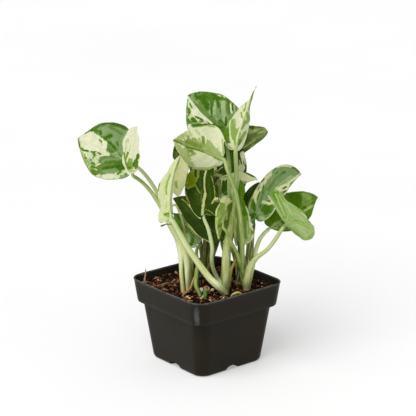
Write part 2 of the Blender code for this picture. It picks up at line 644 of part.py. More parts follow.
def pot(look):
    """Thin square pot: tapered body, wider rim band and a drain notch with its tunnel in each side."""
    band = POT_HEIGHT - BAND_HEIGHT
    outline = [(BASE_HALF - BASE_ROUND, 0.0), (BASE_HALF - 0.2 * BASE_ROUND, 0.7 * BASE_ROUND),
               (BASE_HALF + 0.2 * BASE_ROUND, 2 * BASE_ROUND), (BODY_HALF, band - BAND_STEP),
               (BAND_HALF - BAND_STEP / 2, band), (BAND_HALF, band + BAND_STEP),
               (RIM_HALF - RIM_ROUND, POT_HEIGHT - 3 * RIM_ROUND), (RIM_HALF, POT_HEIGHT - RIM_ROUND),
               (RIM_HALF - RIM_ROUND / 2, POT_HEIGHT)]
    inside = [(RIM_HALF - WALL, POT_HEIGHT), (inner_half(band + BAND_STEP), band + BAND_STEP),
              (inner_half(band - BAND_STEP), band - BAND_STEP), (inner_half(FLOOR), FLOOR)]
    rings = [square_ring(half, corner_at(z), z) for half, z in outline]
    rings += [square_ring(half, corner_at(z) - WALL, z) for half, z in inside]
    body = closed_mesh("pot", *skin(rings))
    hoods = [tunnel(quarter, WALL, FLOOR / 2, BASE_HALF - FLOOR / 2) for quarter in range(4)]
    notches = [tunnel(quarter, 0.0, BELOW_BASE, BASE_HALF + BEYOND_WALL) for quarter in range(4)]
    mesh = boolean(boolean(body, hoods, "UNION"), notches, "DIFFERENCE")
    return finish("pot", mesh, look, CREASE_ANGLE)


def soil_height(x, y):
    """Gently uneven surface of the soil, level where it meets the pot."""
    ripple = math.sin(x * SOIL_RIPPLE[0] + 0.4) * math.cos(y * SOIL_RIPPLE[1] - 0.8)
    swell = SOIL_SWELL[0] * math.sin(x * SOIL_SWELL[1] + y * SOIL_SWELL[2] + 2.0)
    return SOIL_TOP - SOIL_DIP + SOIL_DIP * SOIL_ROUGHNESS * (ripple + swell)


def soil(look):
    """Block of soil that fills the pot round the drain tunnels, with a plain hole for each group of stems."""
    band = POT_HEIGHT - BAND_HEIGHT
    levels = [FLOOR + CLEARANCE, band - BAND_STEP, band + BAND_STEP, SOIL_TOP - SOIL_DIP]
    rings = [square_ring(inner_half(z) - CLEARANCE, corner_at(z) - WALL - CLEARANCE, z) for z in levels]
    top = rings[-1]
    for share in SOIL_RINGS:
        rings.append([(x * share, y * share, soil_height(x * share, y * share)) for x, y, _ in top])
    block = closed_mesh("soil", *skin(rings, (0.0, 0.0, soil_height(0.0, 0.0))))
    holes = [tunnel(quarter, WALL + CLEARANCE, FLOOR / 2, BASE_HALF + BEYOND_WALL) for quarter in range(4)]
    for x, y, radius in stem_feet():
        cut = bmesh.new()
        bmesh.ops.create_cone(cut, cap_ends=True, segments=HOLE_SIDES, radius1=radius * MM,
                              radius2=radius * MM, depth=2 * HOLE_DEPTH * MM)
        bmesh.ops.translate(cut, vec=(x * MM, y * MM, SOIL_TOP * MM), verts=cut.verts)
        mesh = bpy.data.meshes.new("hole")
        cut.to_mesh(mesh)
        cut.free()
        holes.append(mesh)
    return finish("soil", boolean(block, holes, "DIFFERENCE"), look)


def stem_feet():
    """Middle and radius of the hole round the feet of each group of stems."""
    feet = []
    for stems in STEMS.values():
        spots = []
        for points in stems.values():
            u, v, depth, radius = points[0]
            if depth is None:
                spots.append((pot_frame(seen(u, v)), radius))
        middle = sum(spot for spot, _ in spots) / len(spots)
        reach = max(np.linalg.norm((spot - middle)[:2]) + radius for spot, radius in spots)
        feet.append((float(middle[0]), float(middle[1]), float(reach) + 2 * CLEARANCE))
    return feet


def build():
    clear_scene()
    plastic = material("pot_plastic", (0.035, 0.032, 0.030), 0.45)
    earth = material("soil", (0.06, 0.033, 0.02), 0.95)
    green = material("leaf", (0.22, 0.36, 0.12), 0.42, 0.05)
    pale = material("stem", (0.55, 0.64, 0.34), 0.45, 0.05)
    dry = material("dry_root", (0.33, 0.18, 0.09), 0.8)
    blades = {name: Blade(**shape, phase=WAVE_SHIFT * i) for i, (name, shape) in enumerate(LEAVES.items())}
    pot(plastic)
    soil(earth)
    for name, blade in blades.items():
        leaf(name, blade, green)
    for name, stems in STEMS.items():
        stem_group(name, stems, blades, dry if name == "dry_root" else pale)


build()
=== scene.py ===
"""Young variegated pothos in a square plastic nursery pot, seen over a corner of the pot.

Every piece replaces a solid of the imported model, or lies on one, and is made in the same frame: the
middle of the pot's base at the origin and its sides along X and Y. Leaves, stems and the marks on them
are given by the places (u, v) where the view shows them and by their depth in millimetres behind the
middle of the pot.
"""

import math

import bmesh
import bpy
import numpy as np
from mathutils import Euler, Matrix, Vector, noise


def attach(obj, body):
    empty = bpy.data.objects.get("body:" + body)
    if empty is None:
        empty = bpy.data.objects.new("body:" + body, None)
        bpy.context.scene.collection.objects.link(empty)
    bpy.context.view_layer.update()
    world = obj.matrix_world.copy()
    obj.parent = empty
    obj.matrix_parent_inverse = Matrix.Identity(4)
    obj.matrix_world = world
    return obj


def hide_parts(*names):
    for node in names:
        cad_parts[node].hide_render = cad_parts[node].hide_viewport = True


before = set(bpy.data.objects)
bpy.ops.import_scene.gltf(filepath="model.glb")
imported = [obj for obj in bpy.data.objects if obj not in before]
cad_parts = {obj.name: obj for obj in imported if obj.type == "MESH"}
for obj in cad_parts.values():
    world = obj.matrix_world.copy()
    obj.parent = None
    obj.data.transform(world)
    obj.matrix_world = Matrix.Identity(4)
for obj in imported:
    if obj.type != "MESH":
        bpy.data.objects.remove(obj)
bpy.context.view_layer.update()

MM = 0.001

# Pot
POT_HEIGHT = 76.0
RIM_HALF = 51.0
RIM_CORNER = 12.7
BAND_HEIGHT = 22.0
BAND_HALF = 48.2
BODY_HALF = 44.3
BASE_HALF = 37.4
BASE_CORNER = 10.0
WALL = 1.3
FLOOR = 1.6

# Drain notches: an arch in each side at the base, with a tunnel behind it that tapers inward
NOTCH_WIDTH = 16.0
NOTCH_HEIGHT = 4.4
NOTCH_REACH = 17.0
NOTCH_STEPS = 40
ARCH_POWER = 0.7
TUNNEL_END = 0.2
BELOW_BASE = -1.0
BEYOND_WALL = 3.0

# Soil
SOIL_TOP = 70.0
SOIL_ROUGHNESS = 0.9
SOIL_DIP = 0.6
SOIL_RIPPLE = (0.31, 0.27)
SOIL_SWELL = (0.6, 0.13, -0.22)
CLEARANCE = 0.3
ROOT_DEPTH = 9.0

# Leaves and stems
BLADE_THICKNESS = 0.5
LOBE_SHARE = 0.28
VEIN_RAKE = 1.35
WAVE_HEIGHT = 0.8
WAVES = 3.2

# The view: where the eye is, how far it looks down, its focal length and the middle of its image
VIEW_EYE = np.array([1.1, -1420.4, 570.1])
VIEW_DROP = math.radians(16.74)
VIEW_TURN = math.radians(-39.35)
VIEW_FOCAL = 1661.0
VIEW_MIDDLE = 208.0
VIEW_AHEAD = np.array([0.0, math.cos(VIEW_DROP), -math.sin(VIEW_DROP)])
VIEW_UP = np.array([0.0, math.sin(VIEW_DROP), math.cos(VIEW_DROP)])
SENSOR = 36.0
IMAGE_SIDE = 416.0

RIPPLE = 0.22
RIPPLES = 9.0
QUILT = 0.16
VEINS = 8.0
FEATHER = 1.5
STREAK_ACROSS = 0.55
STREAK_ALONG = 0.16
STREAK_REACH = 2.4
STREAK_DRIFT = 0.8
LEAF_SHINE = 0.02
STEM_SHINE = 0.1
# Painted shade on the stems: the direction toward the view, and the tint that darkens and greens the sides turned away
# from it
STEM_LIT_SIDE = (-0.61, -0.74, 0.28)
SIDE_SHADE_TINT = (0.62, 0.74, 0.34)
SOIL_SHINE = 0.05
STEM_SIDES = 20
RIB_JOIN = ((-2.5, 2.0, 0.95), (0.0, 1.2, 0.75), (4.0, 0.7, 0.5), (10.0, 0.5, 0.33), (17.0, 0.3, 0.2))
STUB_CUT = (0.15, -0.6, 0.8)


def linear(r, g, b):
    """Linear colour from the usual 0 to 255 scale."""
    return tuple(((c / 255 + 0.055) / 1.055) ** 2.4 if c > 10 else c / 255 / 12.92 for c in (r, g, b))


CREAM = linear(212, 212, 186)
YELLOW_GREEN = linear(112, 130, 8)
VIVID = linear(82, 122, 14)
BROWN = linear(150, 110, 74)
EDGE = 0.07
SOFT_EDGE = 0.22

# Greens of a leaf from dark to pale, and last the olive that lies between green and cream. The fourth, a grey-green, is
# partly the leaf's own colour and partly a painted sheen.
GREEN = [linear(*c) for c in ((58, 94, 16), (76, 110, 36), (94, 123, 56), (118, 144, 96), (158, 176, 122), (136, 160, 66))]
DEEP = [linear(*c) for c in ((44, 64, 12), (58, 80, 24), (82, 104, 44), (108, 128, 80), (150, 162, 110), (144, 152, 70))]
PALE = [linear(*c) for c in ((96, 119, 38), (124, 146, 66), (148, 166, 94), (156, 174, 110), (178, 190, 122), (176, 188, 118))]
SPRING = [linear(*c) for c in ((92, 126, 26), (118, 152, 60), (142, 172, 88), (158, 182, 112), (180, 196, 132), (168, 190, 100))]
FRESH = [linear(*c) for c in ((70, 108, 8), (84, 120, 24), (112, 146, 60), (138, 162, 92), (176, 192, 128), (150, 172, 72))]
MINT = [linear(*c) for c in ((78, 126, 24), (110, 152, 50), (136, 172, 80), (164, 192, 112), (182, 204, 136), (172, 196, 106))]
SHADED = [linear(*c) for c in ((44, 64, 12), (58, 80, 24), (96, 116, 50), (184, 190, 112), (214, 216, 160), (190, 190, 96))]
ASH = [linear(*c) for c in ((60, 82, 16), (92, 108, 50), (116, 130, 80), (140, 152, 92), (162, 172, 108), (150, 162, 96))]
OLIVE = [linear(*c) for c in ((78, 98, 26), (96, 116, 44), (118, 138, 62), (142, 160, 88), (170, 184, 116), (152, 168, 92))]
CREAMS = {
    "leaf_front_pale": linear(218, 222, 184), "leaf_centre": linear(200, 204, 140), "leaf_cream_left": linear(188, 188, 140),
    "leaf_rolled": linear(204, 208, 164), "leaf_spear": linear(224, 224, 192), "leaf_lower_left": linear(188, 192, 130),
    "leaf_cream_behind": linear(206, 210, 162), "leaf_back_middle": linear(222, 224, 188),
    "leaf_right_speckled": linear(200, 202, 160), "leaf_back_centre": linear(236, 236, 206),
    "leaf_lower_right": linear(204, 210, 158), "leaf_front_small": linear(190, 198, 134), "leaf_low_small": linear(176, 188, 130)}
GREENS = {
    "leaf_centre": DEEP, "leaf_lower_left": DEEP, "leaf_back_upper": ASH, "leaf_back_middle": DEEP, "leaf_back_left": DEEP,
    "leaf_back_centre": SHADED, "leaf_behind_right": DEEP, "leaf_front_pale": PALE, "leaf_spear": SPRING, "leaf_front_right": MINT,
    "leaf_front_small": OLIVE, "leaf_rolled": SPRING, "leaf_cream_left": PALE, "leaf_right_green": FRESH, "leaf_lower_right": FRESH,
    "leaf_folded_left": FRESH}

# Tints of the stems from foot to leaf
STEM_TINTS = {
    "leaf_far_left": [(206, 176, 118), (222, 224, 178), (216, 224, 178), (200, 208, 162), (188, 198, 140), (160, 178, 108), (152, 172, 96)],
    "leaf_folded_left": [(214, 216, 168), (218, 222, 172), (206, 212, 156), (194, 204, 150), (172, 186, 120), (146, 168, 88), (140, 162, 84)],
    "torn": [(210, 216, 166), (196, 204, 150), (150, 120, 74), (176, 184, 120), (196, 200, 150)],
    "sheath": [(200, 206, 154), (160, 158, 84), (128, 112, 50), (126, 90, 44)],
    "thin": [(150, 160, 92), (176, 186, 122)],
    "leaf_spear": [(150, 158, 104), (158, 166, 110), (166, 174, 110), (160, 170, 104), (134, 154, 78), (138, 162, 86), (168, 184, 118), (176, 196, 132)],
    "front_sheath": [(120, 108, 60), (132, 142, 76), (122, 138, 64), (118, 140, 58)],
    "leaf_rolled": [(236, 234, 176), (240, 242, 196), (208, 214, 158), (200, 208, 150), (192, 202, 146), (176, 190, 126)],
    "dead": [(92, 70, 34), (150, 136, 56), (140, 120, 50)],
    "leaf_front_right": [(196, 200, 132), (204, 208, 146), (184, 192, 136), (186, 192, 140), (180, 190, 136), (186, 196, 146)],
    "leaf_front_pale": [(176, 184, 116), (160, 176, 106), (152, 168, 98), (148, 166, 94), (152, 170, 98), (160, 180, 112)],
    "leaf_front_small": [(134, 150, 80), (130, 150, 76), (134, 154, 78), (140, 160, 84)],
    "leaf_right_green": [(190, 196, 124), (214, 220, 160), (222, 228, 176), (214, 222, 170)],
    "leaf_right_speckled": [(122, 136, 66), (96, 110, 44), (88, 106, 40)],
    "leaf_lower_right": [(140, 148, 82), (150, 164, 90), (146, 164, 86)],
    "leaf_low_small": [(110, 138, 44), (136, 158, 76), (148, 166, 92), (128, 150, 72), (112, 136, 56)],
    "leaf_centre": [(206, 212, 160), (198, 208, 154), (212, 220, 174), (196, 206, 154)],
    "leaf_lower_left": [(128, 134, 70), (132, 140, 72), (132, 140, 72)],
    # The darkest tints at the foot of leaf_top's stem are painted shade, where it stands behind the front stems
    "leaf_top": [(64, 74, 24), (60, 70, 22), (110, 130, 60), (156, 178, 112), (84, 116, 30), (60, 92, 14)],
    "stub": [(86, 122, 34), (84, 120, 30)],
    "root": [(130, 88, 58), (166, 116, 78), (190, 150, 96)],
}
DULL_STEM = [(104, 106, 44), (126, 122, 52), (126, 134, 52), (112, 130, 48), (96, 114, 42)]

# Bark, fibre and dark crumbs of the soil
CRUMBS = [linear(*c) for c in ((8, 6, 4), (16, 10, 7), (36, 22, 14), (68, 41, 27), (108, 68, 46), (164, 118, 80))]
POT_BOW = 0.5
# Middle of the pale painted highlight down the front corner of the pot's band, in metres, its height taken at 0.16 of
# true
HIGHLIGHT_PLACE = (-0.0470, -0.0436, 0.0102)
POT_SHINE = 0.11
CLUMPS = 0.9
SKY = 0.55
FLOOR_GLOW = 0.33
SUN = 2.2
SUN_HEIGHT = 50.0
SUN_TURN = -40.0
SUN_SPREAD = 50.0

# White, teal and pale bits on the soil: place, radius in millimetres and colour
BITS = [
    (201.2, 291.0, 2.4, (255, 255, 252)), (212.4, 290.6, 2.0, (206, 198, 160)), (200.9, 277.4, 1.6, (14, 78, 84)),
    (187.2, 298, 1.7, (206, 178, 124)), (189.6, 298.8, 1.2, (220, 196, 146)), (202.8, 297, 1.0, (226, 222, 196)),
    (201.4, 298.8, 1.3, (206, 176, 120)), (176.2, 273.2, 1.5, (196, 150, 96)), (178.2, 281.6, 1.5, (150, 98, 62)),
    (158, 280.5, 1.0, (196, 190, 130)), (175, 284.4, 1.0, (80, 82, 84)), (195.4, 292.6, 1.6, (150, 104, 74)),
    (210, 300.5, 1.0, (186, 186, 180)), (262, 287, 0.8, (210, 204, 190)), (172.6, 282, 1.2, (150, 110, 80)),
    (223.6, 298.2, 0.8, (222, 228, 226))]

# Twigs and thin roots: tints, then places with depth and radius
TWIGS = [
    ([(120, 84, 60), (150, 110, 84), (140, 140, 140)],
     [(144.4, 283, -8, 1.0), (144.8, 279, -8, 0.8), (145.4, 275, -8, 0.8), (145.6, 270.5, -8, 0.5), (145.2, 268.6, -8, 0.2)]),
    ([(40, 36, 34), (40, 36, 34)], [(142.6, 275, 2, 0.7), (142.8, 272.2, 2, 0.5)]),
    ([(180, 170, 96), (196, 186, 110), (190, 180, 104)],
     [(230.6, 296.6, -37, 0.3), (234, 293.8, -37, 1.1), (238.5, 292.6, -37, 1.0), (241.8, 294, -37, 0.4)]),
    ([(96, 62, 44), (120, 80, 56)], [(160.5, 285.5, -12, 0.9), (166, 283.5, -10, 0.8), (172, 282.5, -8, 0.6)]),
    ([(96, 76, 50), (70, 56, 40)], [(171, 224.5, -34, 0.5), (166, 224.3, -34, 0.5), (162.5, 225.6, -34, 0.8), (160.2, 226, -34, 0.3)])]

# Soft light panels: name, place in the view's frame, side in metres and power
PANELS = [("front", (-150.0, -1300.0, 700.0), 0.35, 1.2)]

LEAVES = {
    "leaf_far_left": dict(
        base=(124, 160, 2), tip=(77.5, 138.7), facing=(-15, 35),
        fold=(0.25, 0.25), curl=(-0.2, -0.3), arch=0.08,
        left=[(130, 173), (124, 178), (118, 179), (106, 179.7), (93, 175), (85.5, 164.5), (79.7, 150)],
        right=[(131, 152), (134, 141), (128, 128.5), (118, 123), (108, 122.4), (97, 125), (86, 132)]),
    "leaf_folded_left": dict(
        base=(131.8, 173.5, -20), tip=(137, 126.3), facing=(-40, 8), fold=(0.5, 0.5), arch=0.03,
        left=[(127, 174), (122.9, 162), (122.5, 152), (124.2, 137), (130, 128.5)],
        right=[(136, 171), (139, 164), (139.5, 150), (138.5, 138)]),
    "leaf_top": dict(
        base=(226, 128, 4), tip=(188, 95), facing=(-14, 32), fold=(0.2, 0.2), curl=(-0.3, -0.2), arch=0.08,
        left=[(226, 138), (216, 144), (201, 141), (188.5, 130), (186, 121), (186.2, 112), (187, 102)],
        right=[(234, 126), (239.5, 116), (238, 107.5), (223.5, 95.5), (215, 92.6), (205, 91.6),
               (194, 92.5)]),
    "leaf_front_pale": dict(
        base=(221.2, 158, -28), tip=(172.6, 140.1), facing=(197, 12), rib=(198.3, 149.2),
        fold=(0.1, 0.25), curl=(0.1, 0.5), arch=0.06,
        left=[(224.4, 154), (224.4, 148), (223.8, 142), (223.4, 136), (217.5, 127), (205.9, 125.1),
              (190.6, 129), (180, 134.5)],
        right=[(222.7, 164.2), (213.6, 168), (202.9, 170.3), (192.9, 168.8), (186, 162.6), (177.6, 151.5)]),
    "leaf_spear": dict(
        base=(235.4, 149, -18), tip=(256.6, 85.5), facing=(205, 12), rib=(242, 122),
        fold=(0.6, 0.35), arch=0.05,
        left=[(239, 151), (243.4, 144.5), (248.6, 131), (249.8, 117), (251, 103), (254, 92)],
        right=[(231, 150), (225.3, 145), (224.8, 136), (226.3, 128.5), (229.5, 120.5), (236, 112),
               (247.5, 100.5), (253.5, 91)]),
    "leaf_back_upper": dict(
        base=(234, 151, 40), tip=(268.2, 132), facing=(20, 38), fold=(0.3, 0.6), arch=0.06,
        left=[(231, 142), (236, 131), (248.8, 125.7), (263.3, 127.2)],
        right=[(238, 156.5), (251.8, 147.5), (264, 138)]),
    "leaf_back_middle": dict(
        base=(235, 190, 25), tip=(236, 136), facing=(15, 12), fold=(0.2, 0.2), arch=0.06,
        left=[(230, 193), (225, 184), (223.4, 165), (223, 150), (224, 142), (228.5, 136.8)],
        right=[(240, 192.5), (245.5, 185), (246.5, 171), (246, 160), (242.5, 147)]),
    "leaf_cream_behind": dict(
        base=(219, 197, 11), tip=(257.8, 179.6), facing=(-5, 20), rib=(235, 186.5),
        fold=(0.2, 0.5), arch=0.05,
        left=[(215, 194), (214, 186), (217.6, 179), (226.8, 174.5), (239, 171.7), (247, 172.5),
              (254.4, 176.1)],
        right=[(222, 201), (232, 197.5), (241.7, 185.5), (249, 182)]),
    "leaf_centre": dict(
        base=(203.6, 214.5, -7), tip=(212.5, 158), facing=(-15, 22), rib=(204.6, 188),
        fold=(0.1, 0.5), curl=(-0.1, 0), arch=0.05,
        left=[(200.6, 219), (196, 215.7), (192, 211), (187.4, 201.7), (184.5, 189), (187.4, 175.3),
              (193.7, 168), (203, 161)],
        right=[(208, 213.5), (215, 215.5), (219, 207), (218.3, 198), (215, 189), (213.4, 178.8), (213.8, 168)]),
    "leaf_lower_left": dict(
        base=(219, 235, 3), tip=(172.5, 198.3), facing=(-20, 22), fold=(0.2, 0.25), arch=0.04,
        left=[(218.5, 243), (217, 246.7), (208.6, 242), (200.6, 238), (193.7, 232.7), (188, 224.2),
              (184, 218.4), (179, 208.5)],
        right=[(221.5, 242.5), (225.4, 236), (225, 229), (223.5, 221), (219, 212), (206, 203), (192, 197),
               (181, 196)]),
    "leaf_low_small": dict(
        base=(198, 243, 14), tip=(173, 213), facing=(-25, 30), fold=(0.2, 0.2), arch=0.04,
        left=[(195, 247.5), (190.5, 247.3), (183, 240), (177, 228)],
        right=[(201.5, 241), (201, 235), (194, 224), (184, 215)]),
    "leaf_front_small": dict(
        base=(222.8, 225.5, -30), tip=(225.5, 196.6), facing=(200, 14), fold=(0.45, 0.3), arch=0.05,
        left=[(226.5, 229), (229.7, 217.4), (232.6, 204), (231, 199)],
        right=[(221, 233), (218.5, 240), (216.3, 231.8), (214.8, 222), (216, 210.5), (218.8, 204),
               (221.5, 198.5)]),
    "leaf_lower_right": dict(
        base=(240, 236, -10), tip=(240, 179), facing=(35, 14), fold=(0.5, 0.35), arch=0.04,
        left=[(238, 240), (235.5, 232), (236, 218), (237.5, 200), (238.2, 188)],
        right=[(242, 245.3), (249.8, 242.5), (253.6, 237), (253.6, 231), (252.1, 224.9), (249.2, 214.5),
               (246.2, 206.5), (244, 199), (245.3, 192), (243.8, 184.5)]),
    "leaf_right_speckled": dict(
        base=(255, 218, 4), tip=(301.3, 174.8), facing=(20, 38), rib=(271, 195),
        fold=(0.25, 0.45), curl=(-0.3, 0), arch=0.08,
        left=[(253.5, 225.5), (250, 217), (247.8, 206.1), (252.9, 194), (260, 182.5), (268.8, 172.3),
              (276.5, 167), (285, 164.7), (293, 166.3), (298.5, 170)],
        right=[(259.2, 221.6), (265, 220.2), (270.7, 215.9), (275.5, 209.3), (284.7, 195.5),
               (292.4, 183.8)]),
    "leaf_right_green": dict(
        base=(270.5, 227.8, 29), tip=(318, 197.2), facing=(25, 34), rib=(290, 214.5),
        fold=(0.2, 0.3), arch=0.08,
        left=[(264, 222), (268, 210), (275.8, 200), (286, 193), (298.8, 191.4), (311.5, 193)],
        right=[(275, 229.8), (282, 231.8), (292, 230.5), (303, 224.5), (311, 216.5), (313.5, 207.5)]),
    "leaf_front_right": dict(
        base=(286.3, 223.6, -28), tip=(302, 210.5), facing=(135, 45), fold=(0.05, 0.05), arch=0.03,
        left=[(287.3, 228.4), (291.1, 230.4), (298.8, 236.1), (303.9, 239.9), (309, 240.6),
              (312.8, 237.6), (314.9, 233), (313.5, 227.5), (308.5, 219)],
        right=[(283.5, 220), (279, 213.5), (274.5, 204.8), (270.1, 193.8), (273, 190.6), (278.4, 190.8),
               (287.9, 200.4), (295, 206)]),
    "leaf_rolled": dict(
        base=(170.5, 217, -33), tip=(180, 154.6), facing=(201, 2), rib=(169.8, 188),
        fold=(0.9, 0.5), arch=0.02,
        left=[(173, 214), (172.5, 204), (173, 190), (176, 172), (179.5, 162)],
        right=[(167, 220), (160.2, 223), (158.3, 217), (160.5, 208), (157.7, 198), (158, 189),
               (160.6, 181.6), (166.4, 172.4), (172.4, 163)]),
    "leaf_cream_left": dict(
        base=(184.5, 157, 0), tip=(177, 196.3), facing=(-25, 18), fold=(0.2, 0.2), arch=0.04,
        left=[(180, 155.5), (175, 164), (171.8, 178), (172, 190)],
        right=[(189, 159), (188.5, 166.8), (187.3, 175.5), (183.7, 187.8), (180.5, 194.5)]),
    "leaf_back_left": dict(
        base=(200, 144, 24), tip=(172.6, 157), facing=(-15, 18), fold=(0.2, 0.2), arch=0.05,
        left=[(206, 152), (198, 161), (188, 168), (177.5, 163.5)],
        right=[(202, 137), (190, 136), (179, 140.5), (173.6, 148)]),
    "leaf_back_centre": dict(
        base=(209, 190, 16), tip=(226, 157), facing=(0, 10), fold=(0.1, 0.1), arch=0.03,
        left=[(205, 186), (204, 176), (208, 166), (216, 158)],
        right=[(214, 192), (222, 188), (227, 178), (229, 166)]),
    "leaf_behind_right": dict(
        base=(248, 214, 20), tip=(259, 182), facing=(25, 32), fold=(0.25, 0.25), arch=0.06,
        left=[(244, 211), (242.3, 198), (247, 190.5), (253, 185)],
        right=[(252, 217), (258, 212), (263, 202), (264.5, 190)]),
}

# Each stem is a list of (u, v, depth, radius); a depth of None is on the soil. A stem that ends at a leaf
# is listed under the leaf's name, and the stems of one node are joined in one mesh.
STEMS = {
    "stems_left": {
        "leaf_far_left": [
            (183, 291, None, 2.0), (181.6, 277, -16, 1.9), (181.2, 264, -16, 2.2), (181.5, 252, -15, 3.4),
            (179.5, 240, -15, 4.2), (174, 226, -14, 3.7), (167, 211.5, -12, 2.6), (158, 194.5, -8, 1.8),
            (151, 182.5, -4, 1.7), (144, 173.5, -1, 1.6), (137, 167, 3, 1.5)],
        "leaf_folded_left": [
            (188, 290.5, None, 2.0), (187.4, 277, -17, 2.3), (187, 263, -16, 3.0), (184.5, 251, -16, 3.6),
            (179.5, 239, -16, 3.9), (170.5, 224, -16, 3.3), (162, 208.5, -15, 2.1), (154, 196, -14, 1.8),
            (147, 187, -14, 1.7), (139.5, 180, -15, 1.6)],
        "torn": [
            (186.5, 260, -14, 2.2), (188.3, 250, -11, 1.6), (185.4, 238, -10, 1.3),
            (183.7, 225.5, -10, 1.1), (179.6, 212.8, -10, 1.0), (175.5, 205, -10, 1.0),
            (171, 207, -10, 0.8)],
        "sheath": [
            (186, 246, -14, 3.0), (189.5, 257, -13, 3.2), (191.3, 268, -12, 2.4), (192.3, 279, -10, 0.9)],
        "thin": [
            (191, 289.5, None, 1.3), (190.3, 278, -14, 1.3), (189.5, 265, -14, 1.7)]},
    "stems_front": {
        "leaf_spear": [
            (226, 293.2, None, 3.0), (225.6, 280, -26, 3.5), (226, 266, -24, 4.0), (226.8, 250, -22, 3.9),
            (229, 238, -20.5, 4.0), (231.8, 224, -19, 3.4), (233.8, 208, -18, 2.6),
            (235.4, 190, -17, 2.2), (236.3, 172, -17, 2.0)],
        "leaf_rolled": [
            (224.4, 294, None, 3.1), (217.8, 286, -32, 3.4), (208.6, 277, -34, 3.1),
            (190.4, 251.9, -36, 2.7), (181.7, 236.7, -36, 2.5), (173, 221.5, -36, 2.0)],
        "front_sheath": [
            (236.4, 246, -22, 0.6), (235.6, 238, -22, 1.6), (235.4, 228, -21.5, 2.3), (235, 214, -19.5, 2.1),
            (234.6, 205, -18.3, 1.2)],
        "dead": [(229, 287, -24, 2.0), (230.5, 272, -24, 1.6), (235.9, 259.4, -24, 0.7)]},
    "stems_right": {
        "leaf_front_right": [
            (246.8, 289, None, 3.3), (246.8, 280, -14.4, 3.9), (249.2, 269, -17, 3.4), (256, 258.4, -20, 2.3),
            (266.9, 250, -25, 1.9), (274.5, 240.6, -29, 1.9), (282.2, 228.8, -32, 1.7)],
        "leaf_front_pale": [
            (245.6, 288, None, 2.5), (242.6, 276, -13, 2.2), (242.4, 259, -17, 2.1),
            (242.3, 246, -21, 2.1), (241.7, 228.9, -24, 2.1), (239.4, 211.7, -26, 2.0),
            (236, 194.4, -28, 2.0), (232.6, 183, -29, 1.9), (227.2, 169.5, -31, 1.7)],
        "leaf_front_small": [
            (246, 288.5, None, 2.6), (243.5, 274, -17, 2.0), (239.8, 263, -26, 1.7),
            (237, 253.5, -29, 1.6), (231.8, 243.4, -31, 1.5), (226.2, 231.5, -33, 1.3)],
        "leaf_right_green": [
            (247.4, 289, None, 2.8), (251.5, 271, -8, 2.2), (255.6, 251, 3, 2.0), (259.4, 240.2, 14, 1.9),
            (263.6, 234, 21, 1.8), (267.8, 230.2, 26, 1.7)],
        "leaf_right_speckled": [
            (247, 288.6, None, 2.7), (250.3, 268, -8, 2.0), (251.8, 250, -2, 1.7), (252.8, 234, 2, 1.5),
            (254, 224, 6, 1.4)],
        "leaf_lower_right": [
            (246.2, 288.6, None, 2.7), (245.5, 270, -11, 2.0), (242.8, 254, -11, 1.7),
            (240.5, 242, -10, 1.5)]},
    "stem_low": {
        "leaf_low_small": [
            (200, 295.2, None, 1.9), (196.2, 286, -26, 2.1), (196.4, 275, -22, 2.0),
            (197.6, 264, -14, 1.8), (196.5, 254, -1, 1.6), (197.5, 247.5, 10, 1.4)]},
    "stems_inner": {
        "leaf_centre": [
            (222.3, 286.5, None, 2.4), (217.4, 278, -3, 2.0), (213, 268, -6, 1.9), (211.8, 258, -9, 1.9),
            (212.2, 247, -10, 1.9), (208.6, 229.9, -9, 1.8), (205, 221, -7, 1.6)],
        "leaf_lower_left": [
            (221.5, 285.5, None, 2.4), (223.5, 270, 2, 2.0), (225, 256, 5, 1.7), (222, 244, 7, 1.5)]},
    "stems_middle": {
        "leaf_top": [
            (238, 283.8, None, 2.5), (240, 268, 4, 2.2), (240, 256, 5, 1.9), (238.8, 243, 5, 1.6),
            (236, 228, 3, 1.8), (231.5, 208, -1, 1.9), (229.2, 190, -5, 1.8), (229.4, 168, -4, 1.7),
            (227.5, 150, 3, 1.6), (226.5, 138, 9, 1.5)],
        "leaf_cream_behind": [
            (239, 284, None, 2.2), (236, 262, 8, 2.0), (228, 235, 11, 1.8), (221, 212, 14, 1.6),
            (219.5, 203, 14.5, 1.4)],
        "leaf_behind_right": [
            (240, 283.5, None, 2.2), (246.5, 262, 12, 1.9), (248.5, 240, 19, 1.7), (248.3, 222, 22, 1.4)]},
    "stems_back": {
        "leaf_back_upper": [
            (208.3, 272, None, 2.4), (208.6, 257, 35, 2.3), (209.5, 243, 37, 2.2), (216, 224, 39, 2.0),
            (225, 205, 40, 1.9), (231, 180, 43, 1.8), (233.5, 160, 44, 1.5)],
        "leaf_back_middle": [
            (207, 272.5, None, 2.4), (212, 258, 33, 2.0), (222, 230, 31, 1.8), (231, 205, 29, 1.6),
            (234, 198, 29, 1.5)],
        "leaf_back_left": [
            (205.5, 272, None, 2.4), (205.6, 252, 37, 2.3), (204, 225, 35, 2.0), (203, 200, 34, 1.9),
            (203, 180, 34, 1.7), (202, 156, 30, 1.4)],
        "leaf_back_centre": [
            (204.5, 272.5, None, 2.4), (204.5, 252, 32, 1.9), (206, 220, 26, 1.7), (208.5, 199, 19, 1.4)],
        "leaf_cream_left": [
            (203.5, 272, None, 2.4), (202, 254, 34, 2.2), (199.5, 238, 33, 2.0), (197, 215, 31, 1.7),
            (194, 188, 18, 1.5), (191.5, 171, 13, 1.4), (187.5, 159.5, 7, 1.3)]},
    "cut_stub": {
        "stub": [
            (204.9, 296.8, None, 2.2), (205.6, 293.2, -30.8, 2.2), (206.8, 288.4, -31.2, 2.3)]},
    "dry_root": {
        "root": [
            (183.3, 295.5, None, 1.2), (186.5, 292, -27, 1.2), (190.4, 288, -26, 1.0),
            (193.1, 280.5, -21, 0.8), (194, 277, -19.5, 0.6)]},
}
